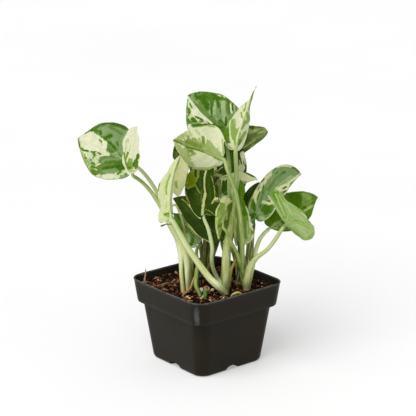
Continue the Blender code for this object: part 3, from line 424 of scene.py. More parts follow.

# Colours of the marks: what each letter does to the share of cream, the tone of green, the flecks and
# the yellowness of a leaf
# The letter y gives the grey-green tone, partly the leaf's own colour and partly a painted sheen on the glossy blades
MARKS = {
    "k": (0.0, -0.12, 0.1, 0.0), "d": (0.0, 0.2, 0.1, 0.0), "g": (0.0, 0.5, 0.1, 0.0), "y": (0.0, 0.75, 0.1, 0.0),
    "p": (0.0, 1.0, 0.1, 0.0), "v": (0.0, 0.12, 0.0, 0.7), "c": (1.0, None, 0.0, 0.0), "m": (0.76, None, 0.3, 0.0),
    "h": (0.44, None, 0.0, 0.0), "f": (0.66, None, 1.0, 0.0), "e": (0.36, None, 1.0, 0.0),
    "o": (1.0, None, 0.0, 1.0), "b": (1.0, None, 0.0, 2.0)}

# Marks on each leaf, painted one over another: the letter, half the width of the stroke and its places
PATTERNS = {
    "leaf_far_left": [
        ("y", 99, (100, 150)), ("k", 2.0, (87, 133.5), (91, 131), (94, 129.5)), ("d", 1.6, (94, 129), (99, 125.8), (104, 123.8)),
        ("k", 0.8, (103, 123.4), (112, 123.2)), ("k", 1.5, (112, 123.8), (119, 125.5), (127, 128.8)),
        ("g", 1.6, (110, 127), (116, 130), (121, 134)), ("d", 1.6, (96, 131), (100, 133)), ("k", 0.9, (100.6, 131.5), (101, 134)),
        ("p", 0.7, (98.5, 133.2)), ("k", 1.6, (104, 138.6), (107, 137.3), (111, 136)), ("v", 0.9, (102, 138), (104.5, 139.6)),
        ("v", 1.3, (107.5, 141.5), (110.5, 143)), ("k", 1.3, (110, 142.5), (113, 146), (116, 150)),
        ("g", 0.9, (116, 150), (119, 154), (122.5, 158)), ("g", 2.6, (107, 147), (112, 151.5)), ("d", 1.2, (110, 150.5), (113.5, 153)),
        ("k", 0.6, (117, 142), (118, 146)), ("p", 0.9, (112, 155.6), (118, 157), (123, 159.3)), ("p", 0.7, (113, 153.6), (117, 152.6)),
        ("g", 2.6, (98, 160), (104, 158), (112, 158), (121, 161.5)), ("y", 1.0, (104, 160.5), (111, 159), (118, 159.5)),
        ("d", 1.8, (106, 163), (114, 162.6), (122, 163)), ("g", 4.6, (99, 167), (100, 171)), ("g", 4.0, (106, 167), (120, 168)),
        ("k", 1.5, (104, 168.6), (110, 167.4), (116, 166.6), (122, 165.4)), ("k", 1.9, (118, 168.6), (123, 168.6)),
        ("y", 1.9, (105, 171.4), (111, 170.8), (116, 170)), ("k", 0.8, (96, 170), (98, 171)), ("v", 1.4, (92, 171), (94, 174)),
        ("c", 2.0, (95, 176), (101, 177), (108, 176), (117, 175)), ("c", 1.6, (104, 178), (118, 177)),
        ("f", 2.2, (116, 175), (121, 173), (127, 172)), ("v", 0.9, (118, 173.8), (121, 171.8)), ("v", 0.8, (126, 174)),
        ("v", 0.7, (125.6, 178)), ("b", 0.55, (101.3, 176)),
        ("c", 4.5, (84, 139), (92, 137)), ("c", 1.8, (90.5, 133.4), (94, 135), (99, 138.4)), ("c", 5.5, (86, 143), (96, 144)),
        ("c", 3.0, (100, 143.5), (104.5, 146)), ("c", 1.8, (101, 140.6), (106, 143)), ("c", 3.6, (92, 149), (103, 151)),
        ("c", 1.6, (104, 152), (108.6, 154.6)), ("c", 0.8, (94, 158), (100, 156), (107, 154.6)), ("h", 0.6, (95, 136.4), (97, 138.6)),
        ("v", 0.8, (99.6, 140), (101.6, 142)), ("h", 0.5, (90, 146), (92.5, 149)), ("f", 4.2, (84, 147), (90, 157), (95, 160)),
        ("h", 0.6, (101, 143), (103, 146)), ("f", 3.0, (92, 153), (100, 155)), ("c", 1.6, (86, 147), (90, 148.5)),
        ("k", 0.9, (78.8, 144), (80.2, 147.8), (84, 150.4), (88, 151.2)), ("v", 1.2, (93.4, 152.8), (94.6, 155.6)),
        ("v", 0.9, (98.4, 153), (100.2, 154)), ("v", 0.6, (91, 152), (96, 151.8)), ("v", 0.8, (93.4, 157.8)),
        ("v", 0.9, (84, 157), (86, 158.6)), ("v", 0.8, (90, 159.8), (91.4, 160.4)), ("v", 0.9, (91, 162.2), (94, 163.6)),
        ("e", 2.4, (88, 161), (92, 170)), ("v", 1.0, (92, 167), (94.4, 168)), ("v", 1.2, (92.5, 170.5), (95.5, 174.4)),
        ("h", 1.4, (79.8, 148), (82.4, 155), (86.4, 163), (89.6, 169)), ("c", 0.7, (96, 165.6), (100, 163.6)),
        ("c", 0.6, (94.6, 169), (96.6, 170.4)), ("b", 0.8, (79, 142.6))],
    "leaf_folded_left": [
        ("c", 99, (130, 150)), ("h", 0.8, (126.6, 140), (125.8, 149), (125, 156)), ("h", 0.6, (131, 143), (129.6, 150), (127.6, 157)),
        ("h", 0.7, (128, 138), (128.4, 143)), ("g", 0.7, (127.6, 152), (126, 160)), ("g", 0.9, (124, 153), (125, 160), (127.6, 169)),
        ("g", 2.9, (130.4, 162), (131, 166.4)), ("g", 1.6, (127.6, 164), (128.4, 169)), ("y", 1.2, (130, 161), (131.6, 159.6)),
        ("k", 0.7, (128.4, 168), (130.6, 167.4)), ("k", 1.5, (138.4, 155), (137, 160), (137, 166)), ("v", 1.2, (135.2, 161), (136, 168)),
        ("k", 1.0, (134, 163), (134.4, 166)), ("p", 1.0, (128, 171), (134, 171)), ("h", 0.6, (132.8, 148.8)), ("h", 0.5, (131.7, 156)),
        ("c", 1.3, (122.6, 160), (124, 166), (127, 172)), ("v", 0.8, (126.6, 173.4))],
    "leaf_top": [
        ("y", 99, (212, 118)), ("p", 1.7, (214, 104), (214, 114)), ("p", 2.0, (223, 100), (224, 112), (224, 120)),
        ("g", 3.2, (192, 99), (198, 105), (204, 112), (211, 121)), ("y", 1.8, (191, 97.6), (197, 102)),
        ("k", 3.4, (198, 96), (206, 96), (213, 97)), ("k", 2.7, (203, 101), (207, 105), (207, 108.6)), ("v", 2.0, (208, 94.6), (212.4, 97)),
        ("v", 1.2, (206.6, 99), (210, 100)), ("g", 1.0, (197.6, 95), (203, 93.6)), ("k", 1.6, (214, 95.6), (219, 98), (224, 99)),
        ("v", 1.3, (221, 97.4), (228, 100.8), (230, 103)), ("k", 0.9, (211.4, 102), (211.6, 110), (211.6, 116.4)),
        ("k", 1.1, (217, 99.6), (218, 103), (218.6, 107)), ("d", 0.9, (213.4, 101), (212.6, 106)), ("d", 0.9, (228.4, 103), (229.2, 114)),
        ("g", 1.1, (226.6, 104), (227.6, 112)), ("d", 0.5, (220, 104), (220.4, 112)), ("p", 0.5, (209.4, 110), (210, 115)),
        ("p", 0.6, (215.4, 117), (217.6, 120)), ("g", 1.0, (214, 117), (214.4, 121)), ("v", 3.0, (214, 126), (220, 129), (224, 134)),
        ("k", 1.7, (219.6, 121.6), (225, 127)), ("k", 0.9, (226, 118), (226, 128)), ("c", 0.8, (230.6, 104), (231, 110), (231.8, 113)),
        ("k", 0.8, (232.3, 104), (232.5, 110)), ("p", 0.9, (234.2, 105), (235, 112)), ("h", 1.0, (235, 102), (238, 107)),
        ("c", 0.4, (218, 95.4), (225, 97)), ("h", 0.8, (230, 101), (234.6, 103.4)), ("g", 0.8, (236.2, 106), (236.2, 111)),
        ("f", 3.6, (189, 104), (191, 112), (193, 118)), ("c", 1.9, (191.4, 106), (194, 111.6), (198, 115.4)),
        ("c", 1.3, (195, 113), (201, 117), (206.4, 121.4)), ("f", 2.4, (198, 120.6), (206, 123)), ("c", 0.9, (188.2, 97.4), (192, 103),
        (196, 108), (200, 113), (206, 118.4), (212, 123.6)), ("v", 1.1, (189, 109), (189.3, 113.4)), ("k", 0.6, (189.2, 112.6)),
        ("k", 1.7, (192.4, 119), (195.4, 121)), ("v", 1.0, (193, 118)), ("k", 0.9, (196, 116.6), (199, 118.4), (203, 120)),
        ("v", 0.8, (190.2, 104), (192, 108)), ("v", 0.8, (189.4, 121), (191.6, 125)), ("v", 0.7, (188, 119), (188, 123)),
        # Painted shadow: the two dark strokes on the next line follow the blade's lower margin, over the leaf below
        ("k", 0.9, (193, 125.6), (198, 125), (203, 124.6)), ("k", 0.9, (205, 124.4), (214, 125.4), (221, 127.6)),
        ("h", 0.7, (206, 121), (207, 122)), ("v", 0.6, (200, 121.4), (203, 122)), ("c", 1.8, (189.4, 126), (191, 128)),
        ("k", 0.7, (188.3, 95.5), (190.4, 95.4)), ("g", 0.5, (187.2, 100), (187, 110)), ("h", 0.5, (186.8, 112), (186.8, 119))],
    "leaf_front_pale": [
        ("m", 99, (200, 150)), ("c", 4.6, (207, 131), (213, 136), (219, 147)), ("c", 2.0, (213, 130), (218, 139), (221, 150)),
        ("c", 5.2, (199, 160), (206, 161), (213, 161)), ("c", 2.2, (192, 160.6), (195, 164)), ("p", 2.4, (179, 136.6), (184, 134)),
        ("h", 1.4, (189, 131), (191, 136)), ("h", 1.3, (196, 130), (199, 134)), ("h", 1.0, (183.6, 132.6), (187, 137)),
        ("g", 1.9, (176, 140.2), (184, 142.6)), ("g", 3.7, (187.4, 142.4), (194, 143.6), (199, 145)), ("g", 2.7, (201, 144), (205, 147.6)),
        ("g", 0.8, (184, 138.4)), ("d", 1.5, (187, 141.4), (189, 142.6)), ("g", 1.2, (187.6, 136), (188.6, 139)),
        ("d", 1.5, (203, 137.4), (203.6, 142.6)), ("g", 1.5, (193.2, 139), (195.6, 140)), ("p", 1.3, (199, 139), (199.6, 142)),
        ("y", 3.5, (209, 144), (212, 150), (216, 155)), ("y", 2.6, (217, 151), (220, 158)), ("y", 2.2, (206, 149), (212, 153.4)),
        ("g", 1.2, (207, 146), (209, 149)), ("p", 0.9, (209.4, 140.6), (210.4, 145)), ("g", 1.7, (186, 149), (188, 153)),
        ("g", 1.6, (191, 151), (194, 153.4)), ("p", 3.6, (183, 152), (187, 158), (189.6, 164)), ("p", 2.0, (176, 145), (181, 150)),
        ("g", 0.8, (188, 156), (192, 154.6)), ("p", 1.6, (190, 166.4), (198, 169), (208, 168.6), (217, 166.4)),
        ("g", 0.7, (197, 169.6), (208, 169.4)), ("p", 0.8, (222.4, 140), (223.4, 154)), ("k", 0.7, (173.6, 140), (181, 143.4), (188, 147.4)),
        ("k", 0.6, (188, 147.6), (197, 149.2), (204, 151.5)), ("d", 0.7, (204, 151.5), (211, 155), (219, 160)),
        ("g", 0.7, (196, 126.4), (205, 125.4), (214, 126.6)),
        ("g", 1.5, (184, 144), (192, 147), (202, 149.6), (213, 154.4)), ("d", 2.4, (187, 142.4), (194, 144.4), (200, 146.4)),
        ("d", 1.3, (189, 150), (193, 151.4)), ("k", 0.9, (186, 146.4), (195, 149), (205, 152))],
    "leaf_spear": [
        ("c", 99, (240, 120)), ("g", 2.8, (232.6, 122), (233, 130), (234.4, 138)), ("g", 2.2, (237, 130), (237, 136), (235.6, 143)),
        ("y", 1.4, (239, 128), (239, 134)), ("v", 1.9, (227.8, 128), (227.2, 137), (228.6, 143)), ("k", 1.0, (226.2, 129), (225.6, 138), (226.6, 143)),
        ("g", 1.2, (229.4, 121), (228.6, 127)), ("c", 0.5, (230.6, 118), (229.6, 126), (230.2, 134), (232.6, 143)),
        ("c", 1.9, (238.4, 111), (237.8, 119), (237.4, 126)), ("c", 1.2, (234.6, 113.4), (232.6, 117)), ("p", 0.8, (234.6, 119), (235.6, 125)),
        ("g", 1.9, (247, 114), (248.4, 119), (246, 122.6)), ("g", 1.3, (243.4, 119), (244, 124.6), (241.6, 128.6)), ("h", 0.7, (231, 118), (238, 110), (247, 101)),
        ("g", 1.0, (241, 112.6), (242, 117)), ("g", 1.2, (244, 109.6), (246, 113)), ("c", 1.3, (249.4, 124), (246, 129), (241.6, 132)),
        ("g", 1.8, (245, 132.6), (242, 137), (239, 143)), ("v", 0.8, (240, 140), (238.4, 145)), ("c", 1.2, (249, 132), (246, 140), (241, 147)),
        ("c", 0.6, (235.8, 148), (236.8, 138), (240, 128), (244, 117), (246.8, 106)), ("v", 0.8, (253.6, 91), (251.6, 98), (250, 105), (248.6, 110)),
        ("g", 0.6, (245.8, 103), (245, 110)), ("h", 0.6, (243, 105), (242, 110)), ("h", 0.5, (247.4, 100), (246.6, 106)),
        ("p", 1.5, (226.8, 145), (232, 147.4)), ("c", 0.9, (229, 144), (234, 148)), ("g", 0.6, (235.2, 141), (235.2, 149))],
    "leaf_back_upper": [
        ("d", 99, (250, 140)), ("y", 3.0, (250.6, 131.4), (257, 131), (264, 130.6)), ("p", 1.0, (254.6, 131), (258, 131.4), (264, 132)), ("k", 1.4, (249.4, 127.2), (252.6, 128)),
        ("d", 0.6, (252, 134.4), (259, 131.2), (262, 129.6)), ("v", 0.5, (255.6, 128), (260, 127.6)), ("g", 1.5, (253, 139.4), (259, 136.4), (264, 134.4)),
        ("k", 0.9, (247, 134), (245.6, 143)), ("g", 0.8, (246, 146.6), (252, 142)), ("p", 0.45, (242, 149), (248, 145), (255, 140.2)), ("k", 1.0, (241, 153), (248, 150.4)),
        ("y", 0.5, (250, 148), (254, 144))],
    "leaf_back_middle": [
        ("k", 99, (232, 165)), ("v", 1.6, (226, 142), (226.6, 150), (228, 158)), ("d", 0.8, (229, 160), (230, 172)), ("v", 1.0, (231.4, 153), (231.6, 165), (232.4, 176)),
        ("g", 0.8, (227, 165), (229, 175)), ("m", 2.8, (243, 154), (242.6, 163), (241, 171)), ("c", 2.0, (243.4, 155), (243, 168)),
        ("g", 0.7, (240.4, 158), (241.4, 164)), ("d", 0.8, (245.6, 151), (246.2, 159)), ("g", 0.5, (243, 161), (245, 166)), ("v", 1.6, (241, 186), (243, 180))],
    "leaf_cream_behind": [
        ("m", 99, (235, 185)), ("h", 3.4, (218, 181), (218.6, 194)), ("k", 3.6, (226, 183), (225.6, 192)), ("d", 1.4, (228.6, 181), (228.6, 187)),
        ("v", 1.1, (216.6, 186), (216.8, 195)), ("h", 1.2, (222, 177), (228, 177)), ("c", 2.6, (240, 177), (250, 178.6)),
        ("p", 1.1, (240, 182.4), (246, 182.6)), ("k", 0.8, (243, 171.4), (247, 173), (251, 175.4), (255, 177)), ("c", 1.2, (231, 176), (236, 174))],
    "leaf_centre": [
        ("k", 99, (200, 190)), ("d", 2.4, (196, 192), (199, 203)), ("d", 1.5, (200, 178), (200, 186)), ("g", 0.9, (201.6, 190), (201.4, 202)),
        ("d", 1.0, (209, 180), (210.4, 200)), ("o", 4.6, (190.4, 176), (192, 181)), ("o", 2.8, (186.6, 185), (192, 184.6)),
        ("o", 1.3, (188, 174), (194, 170.6)), ("o", 1.8, (195.4, 179.6)), ("o", 1.1, (198, 169.6), (198, 177)), ("k", 1.0, (195.6, 169), (195.4, 176.4)),
        ("o", 0.6, (195, 184), (197.4, 189), (199.8, 193)), ("k", 0.8, (190, 188.6), (193, 187.6)), ("h", 0.8, (209, 161), (207, 168), (205, 175)),
        ("c", 0.8, (206, 171), (204.4, 178), (204.4, 186), (205.4, 193)), ("c", 1.3, (205.2, 194), (203.4, 203), (202.4, 214)),
        ("h", 1.1, (184.4, 190), (186.8, 197), (189.6, 203)), ("c", 0.7, (189.4, 205), (192.4, 212), (197, 217), (201, 219)),
        ("h", 0.8, (206, 209.6), (211, 211.5), (216, 216.5)), ("h", 0.8, (211.4, 176), (214, 184), (215.2, 197)), ("c", 0.9, (212.6, 203), (215, 199), (218.6, 198)), ("h", 1.6, (214.4, 201), (219, 200.4)),
        ("h", 0.6, (212, 204), (214, 202))],
    "leaf_lower_left": [
        ("k", 99, (200, 222)), ("d", 2.4, (184, 204), (192, 214), (204, 229)), ("k", 0.8, (186, 213), (192, 217.6)), ("d", 1.4, (206, 230), (208, 237)),
        ("h", 0.8, (182, 199), (187, 202.6), (190, 207.6)), ("c", 0.7, (187, 223.6), (192, 229), (197, 235), (203, 239.6), (212, 243)),
        ("h", 1.5, (201, 239), (208, 242), (214, 246)), ("c", 0.8, (203, 240), (210, 243)), ("d", 2.2, (216, 226), (216, 240))],
    "leaf_low_small": [
        ("y", 99, (190, 236)), ("k", 4.2, (173, 213), (179, 221), (184.6, 229.4)), ("v", 1.2, (175, 218), (181, 226)), ("d", 1.6, (189, 230), (193, 237), (191, 245)), ("k", 0.8, (193.6, 236), (191.4, 244)), ("p", 1.4, (188, 236), (189, 242)),
        ("y", 1.8, (197, 238), (196, 243)), ("c", 0.6, (200, 241.6), (194.6, 246), (190.4, 247)), ("h", 0.9, (186, 224), (193, 232.6), (200, 241))],
    "leaf_front_small": [
        ("d", 99, (223, 215)), ("g", 3.4, (221, 206), (220.4, 220)), ("m", 3.0, (222, 199.6), (230, 201.4)), ("c", 1.0, (219.6, 199), (224, 197.6), (228, 198.6)), ("m", 1.6, (226.4, 203), (225.6, 208)),
        ("h", 0.9, (225, 207), (224.6, 215)), ("g", 2.2, (220.6, 207), (220.4, 217)), ("y", 0.8, (219.2, 212), (219.6, 218)),
        ("c", 0.8, (219, 204), (216.6, 209), (216, 215)), ("p", 1.6, (217, 218), (216.2, 226), (217, 232)), ("c", 0.9, (215.6, 222), (216.6, 231), (218.4, 238.6)),
        ("k", 2.3, (230, 206), (228, 212), (226.6, 222)), ("k", 0.9, (231.6, 203), (229.6, 212), (226.4, 223)), ("y", 1.2, (226.8, 211), (226.4, 219)),
        ("d", 1.5, (219, 226.6), (223, 226.4)), ("g", 1.9, (220, 229), (220.6, 236)), ("p", 0.8, (222.6, 222), (225, 214))],
    "leaf_lower_right": [
        ("g", 99, (244, 222)), ("v", 2.6, (241, 182), (243, 192), (243.6, 204), (245.4, 213)), ("k", 0.9, (238.6, 186), (239.4, 200), (240.6, 212), (242.2, 224), (243.2, 236)),
        ("g", 2.6, (248, 224), (248.6, 232)), ("y", 1.4, (247.6, 226), (248, 234)), ("p", 0.5, (247, 221), (247.4, 236)), ("p", 0.5, (250, 227), (250, 236)),
        ("c", 1.0, (246.6, 206.6), (248.8, 214), (249.8, 221), (250, 227)), ("m", 1.3, (251, 223), (252.6, 230)), ("p", 2.0, (250, 236), (246, 242)),
        ("c", 0.9, (253, 235), (251, 241), (245, 244))],
    "leaf_right_speckled": [
        ("y", 99, (275, 185)), ("g", 1.2, (283, 172), (275, 180), (268, 190)), ("y", 1.4, (293, 171), (286, 175), (280, 181)), ("p", 0.8, (291, 176), (284, 181), (278, 186)),
        ("d", 0.8, (281, 167.2), (289, 165.8), (295, 168.6), (299.6, 173)), ("m", 1.5, (266, 174), (271, 169), (277, 166.6), (285, 165.4), (291, 166.2)),
        ("m", 3.2, (258, 190), (261, 184), (265, 178), (269, 173)), ("m", 2.2, (253.6, 199), (257, 192)), ("c", 0.8, (255.6, 203), (256, 196), (259, 189), (264, 182), (268, 175.4)),
        ("k", 1.2, (261, 181.4), (263.4, 179)), ("v", 0.7, (269, 171), (271, 169.6)), ("v", 0.7, (274, 168.6), (276, 167.6)), ("v", 0.6, (266, 175), (267.6, 173)),
        ("d", 0.7, (263.4, 186), (262.4, 193)), ("g", 0.6, (258, 190), (259.4, 187)), ("g", 0.8, (258.4, 206), (262, 196), (266, 188)), ("v", 0.6, (276, 174), (277.4, 172)),
        ("k", 0.7, (283.4, 173.4), (284.8, 172)), ("v", 2.1, (252, 201), (253, 207)), ("k", 1.2, (254, 203), (254.6, 210)), ("k", 3.2, (254, 216), (255, 220)),
        ("h", 0.8, (249, 210), (250.4, 203), (253, 197)), ("m", 3.0, (279, 189.4), (286, 187)), ("c", 1.3, (276, 188.4), (281, 187), (286, 184)),
        ("c", 1.5, (300, 175), (294, 178.6), (288, 182.6)), ("c", 1.0, (289, 184), (287.4, 190), (285, 194)), ("k", 0.8, (283, 188.6), (286, 187.2)),
        ("k", 0.8, (284, 192.6), (286, 191)), ("p", 1.2, (291, 178), (286, 183)), ("m", 1.8, (263, 202), (268, 203), (273, 204)), ("c", 0.8, (268.4, 196), (271, 200), (273, 204)),
        ("v", 0.7, (267, 201), (270, 201.6)), ("k", 3.6, (263, 208.4), (269, 208.6)), ("g", 1.9, (262, 214), (267, 215)), ("k", 2.0, (266, 213), (270, 211)),
        ("v", 1.2, (272, 205.6), (271, 210)), ("y", 1.9, (259.4, 211.6), (262, 217)), ("p", 1.3, (260, 217.6), (264, 219)), ("d", 0.6, (257, 200), (260, 192)),
        ("c", 0.7, (265, 220.4), (270, 216.8), (273, 213), (275.6, 208)), ("b", 0.6, (300.6, 175))],
    "leaf_right_green": [
        ("d", 99, (292, 212)), ("k", 4.2, (292, 196), (297, 200), (298, 205)), ("v", 1.1, (287, 196), (292, 203)), ("g", 5.0, (307, 196), (306, 205)),
        ("y", 2.0, (303, 194.4), (309, 198)), ("y", 1.6, (303, 212), (308, 208.6), (312, 206)), ("p", 0.7, (305, 210.4), (311, 207)), ("k", 1.4, (302, 207), (305.4, 207.4)),
        ("d", 2.0, (308, 213.4), (306, 218)), ("h", 0.5, (290, 191.4), (300, 191.2), (309, 192.2)), ("v", 1.4, (300, 205), (302, 209)), ("g", 0.8, (308, 203), (312, 201)),
        ("k", 3.4, (272, 217), (277, 213)), ("v", 2.2, (278, 222), (283, 216)), ("y", 2.6, (274, 226.6), (280, 224)), ("p", 1.0, (270, 228.6), (278, 228.4)),
        ("h", 0.7, (268, 227.4), (274, 223.4), (280, 220), (284, 218.6)), ("v", 1.7, (282, 221), (284, 224)), ("d", 1.6, (268, 221), (271, 224))],
    "leaf_front_right": [
        ("y", 99, (295, 222)), ("g", 5.5, (275, 196), (281, 205), (286, 213)), ("d", 1.6, (273, 193.4), (277, 200)), ("d", 1.1, (272, 192.4), (278, 192)), ("p", 0.8, (275.6, 194), (279.6, 203), (284.6, 215)),
        ("p", 0.7, (271, 197), (276, 206), (282, 216)), ("g", 1.0, (281, 196), (285, 204), (288, 212)), ("p", 1.1, (284, 203), (290, 210), (292, 216)),
        ("p", 3.8, (300, 225.6), (307, 233)), ("y", 0.9, (296, 223), (304, 227), (309, 233)), ("p", 0.8, (288, 222), (296, 218), (303, 220.6)), ("g", 0.6, (291, 221), (298, 219.6), (304, 223)),
        ("p", 0.7, (290, 226), (298, 224), (305, 228)), ("g", 1.4, (285, 227), (292, 230), (300, 236)), ("g", 1.0, (298, 208), (305, 214), (310, 222)),
        ("g", 0.8, (308, 238), (313, 233)), ("p", 0.7, (286, 223), (289, 212), (287, 203)), ("p", 0.5, (279, 195), (284, 203), (287, 212)),
        ("c", 0.5, (301, 212.4), (305, 215.4), (308, 219)), ("p", 1.0, (294, 213), (299, 215), (304, 220)), ("g", 0.5, (292, 216), (299, 223), (309, 228)),
        ("g", 0.5, (290, 227), (297, 232), (303, 239)), ("d", 0.5, (286, 226), (291, 229.6))],
    "leaf_rolled": [
        ("c", 99, (166, 195)), ("m", 1.8, (170, 183), (169, 195), (168, 205)), ("m", 2.4, (163, 206), (163, 214)), ("v", 0.7, (165.6, 172), (167, 169), (168.6, 167)),
        ("v", 0.9, (158, 190.4), (158.6, 187), (159.6, 183)), ("h", 0.7, (160, 180), (163, 176)), ("g", 0.9, (166.4, 194), (166.4, 188), (167.6, 181), (170.2, 174.6)),
        ("h", 0.6, (165, 196), (165, 188), (166.4, 180)), ("h", 0.7, (163, 192), (163.4, 187)), ("h", 0.5, (160.6, 192), (161.6, 196)), ("h", 0.6, (163.4, 195), (164.4, 199)),
        ("h", 0.5, (164, 184), (165, 178)), ("h", 0.5, (162, 186), (162.4, 181)), ("h", 0.6, (173.4, 166), (174.6, 162)), ("g", 0.6, (176, 168), (178, 163), (180, 158)),
        ("h", 1.0, (174, 172), (176.4, 166)), ("h", 1.0, (166.6, 203), (166, 208)), ("p", 1.4, (158.6, 200), (159.4, 206)), ("g", 2.3, (166, 214.6), (170, 215)),
        ("g", 1.3, (170, 211.6), (171.6, 213)), ("v", 0.7, (164.4, 214.4), (170, 213)), ("c", 0.8, (163, 172), (161, 180))],
    "leaf_cream_left": [
        ("m", 99, (180, 175)), ("c", 3.2, (181, 166), (179, 174)), ("g", 1.4, (175.6, 182), (176.6, 187)), ("d", 0.7, (176.4, 184), (177, 187)),
        ("h", 1.5, (183, 181), (181, 190)), ("h", 0.5, (180.6, 176)), ("h", 0.8, (174, 190), (177, 193))],
    "leaf_back_left": [
        ("k", 99, (180, 150)), ("d", 1.4, (174, 152), (174, 160)), ("g", 1.0, (176.4, 152), (177, 158)), ("d", 4, (192, 145), (196, 156))],
    "leaf_back_centre": [
        ("d", 99, (215, 172)), ("k", 2.6, (217, 168.6), (222, 166.4)), ("c", 2.2, (211, 169.6), (214.6, 168.2)), ("p", 0.5, (212, 173), (218, 170.4), (223, 166.6)),
        ("y", 1.7, (210, 175), (216, 174.6), (222, 176.4)), ("h", 0.8, (210, 172.6), (214, 172)), ("k", 1.2, (213, 181), (218, 186))],
    "leaf_behind_right": [
        ("k", 99, (252, 200)), ("d", 1.6, (248, 194), (252, 188)), ("d", 0.8, (246, 204), (249, 200)), ("k", 2.0, (248, 208), (252, 214))],
}


def sight(u, v):
    """Direction in which the view sees the place (u, v)."""
    sideways = np.array([(u - VIEW_MIDDLE) / VIEW_FOCAL, 0.0, 0.0])
    return VIEW_AHEAD + sideways - VIEW_UP * ((v - VIEW_MIDDLE) / VIEW_FOCAL)


def seen(u, v, depth=None):
    """Point that the view sees at (u, v), at a depth or, without one, on the soil."""
    ray = sight(u, v)
    if depth is None:
        return VIEW_EYE + ray * ((SOIL_TOP - VIEW_EYE[2]) / ray[2])
    return VIEW_EYE + ray * ((depth - VIEW_EYE[1]) / ray[1])


def shown_at(points):
    """Places (u, v) at which the view shows points of its own frame."""
    p = points - VIEW_EYE
    ahead = p @ VIEW_AHEAD
    return np.stack([VIEW_MIDDLE + VIEW_FOCAL * p[:, 0] / ahead, VIEW_MIDDLE - VIEW_FOCAL * (p @ VIEW_UP) / ahead], 1)


def pot_frame(points):
    """Points of the view's frame turned into the pot's frame."""
    c, s = math.cos(VIEW_TURN), math.sin(VIEW_TURN)
    turn = np.array([[c, -s, 0.0], [s, c, 0.0], [0.0, 0.0, 1.0]])
    return np.asarray(points, float) @ turn.T


def smooth(points, count):
    """Smooth curve of so many points through given points."""
    p = np.array(points, float)
    step = np.sqrt(np.linalg.norm(np.diff(p[:, :3], axis=0), axis=1))
    t = np.concatenate([[0.0], np.cumsum(step)])
    slope = np.empty_like(p)
    slope[1:-1] = (p[2:] - p[:-2]) / (t[2:] - t[:-2])[:, None]
    slope[0] = 1.5 * (p[1] - p[0]) / (t[1] - t[0]) - 0.5 * slope[1]
    slope[-1] = 1.5 * (p[-1] - p[-2]) / (t[-1] - t[-2]) - 0.5 * slope[-2]
    s = np.linspace(0.0, t[-1], count)
    k = np.clip(np.searchsorted(t, s, side="right") - 1, 0, len(p) - 2)
    h = (t[k + 1] - t[k])[:, None]
    x = (s - t[k])[:, None] / h
    start = (2 * x**3 - 3 * x**2 + 1) * p[k] + (x**3 - 2 * x**2 + x) * h * slope[k]
    return start + (3 * x**2 - 2 * x**3) * p[k + 1] + (x**3 - x**2) * h * slope[k + 1]


def even(line, count=240):
    """The line with its points spread evenly along it."""
    length = np.concatenate([[0.0], np.cumsum(np.linalg.norm(np.diff(line, axis=0), axis=1))])
    s = np.linspace(0.0, length[-1], count)
    return np.stack([np.interp(s, length, line[:, i]) for i in range(line.shape[1])], 1)


def blend_step(x):
    x = np.clip(x, 0.0, 1.0)
    return x * x * (3 - 2 * x)


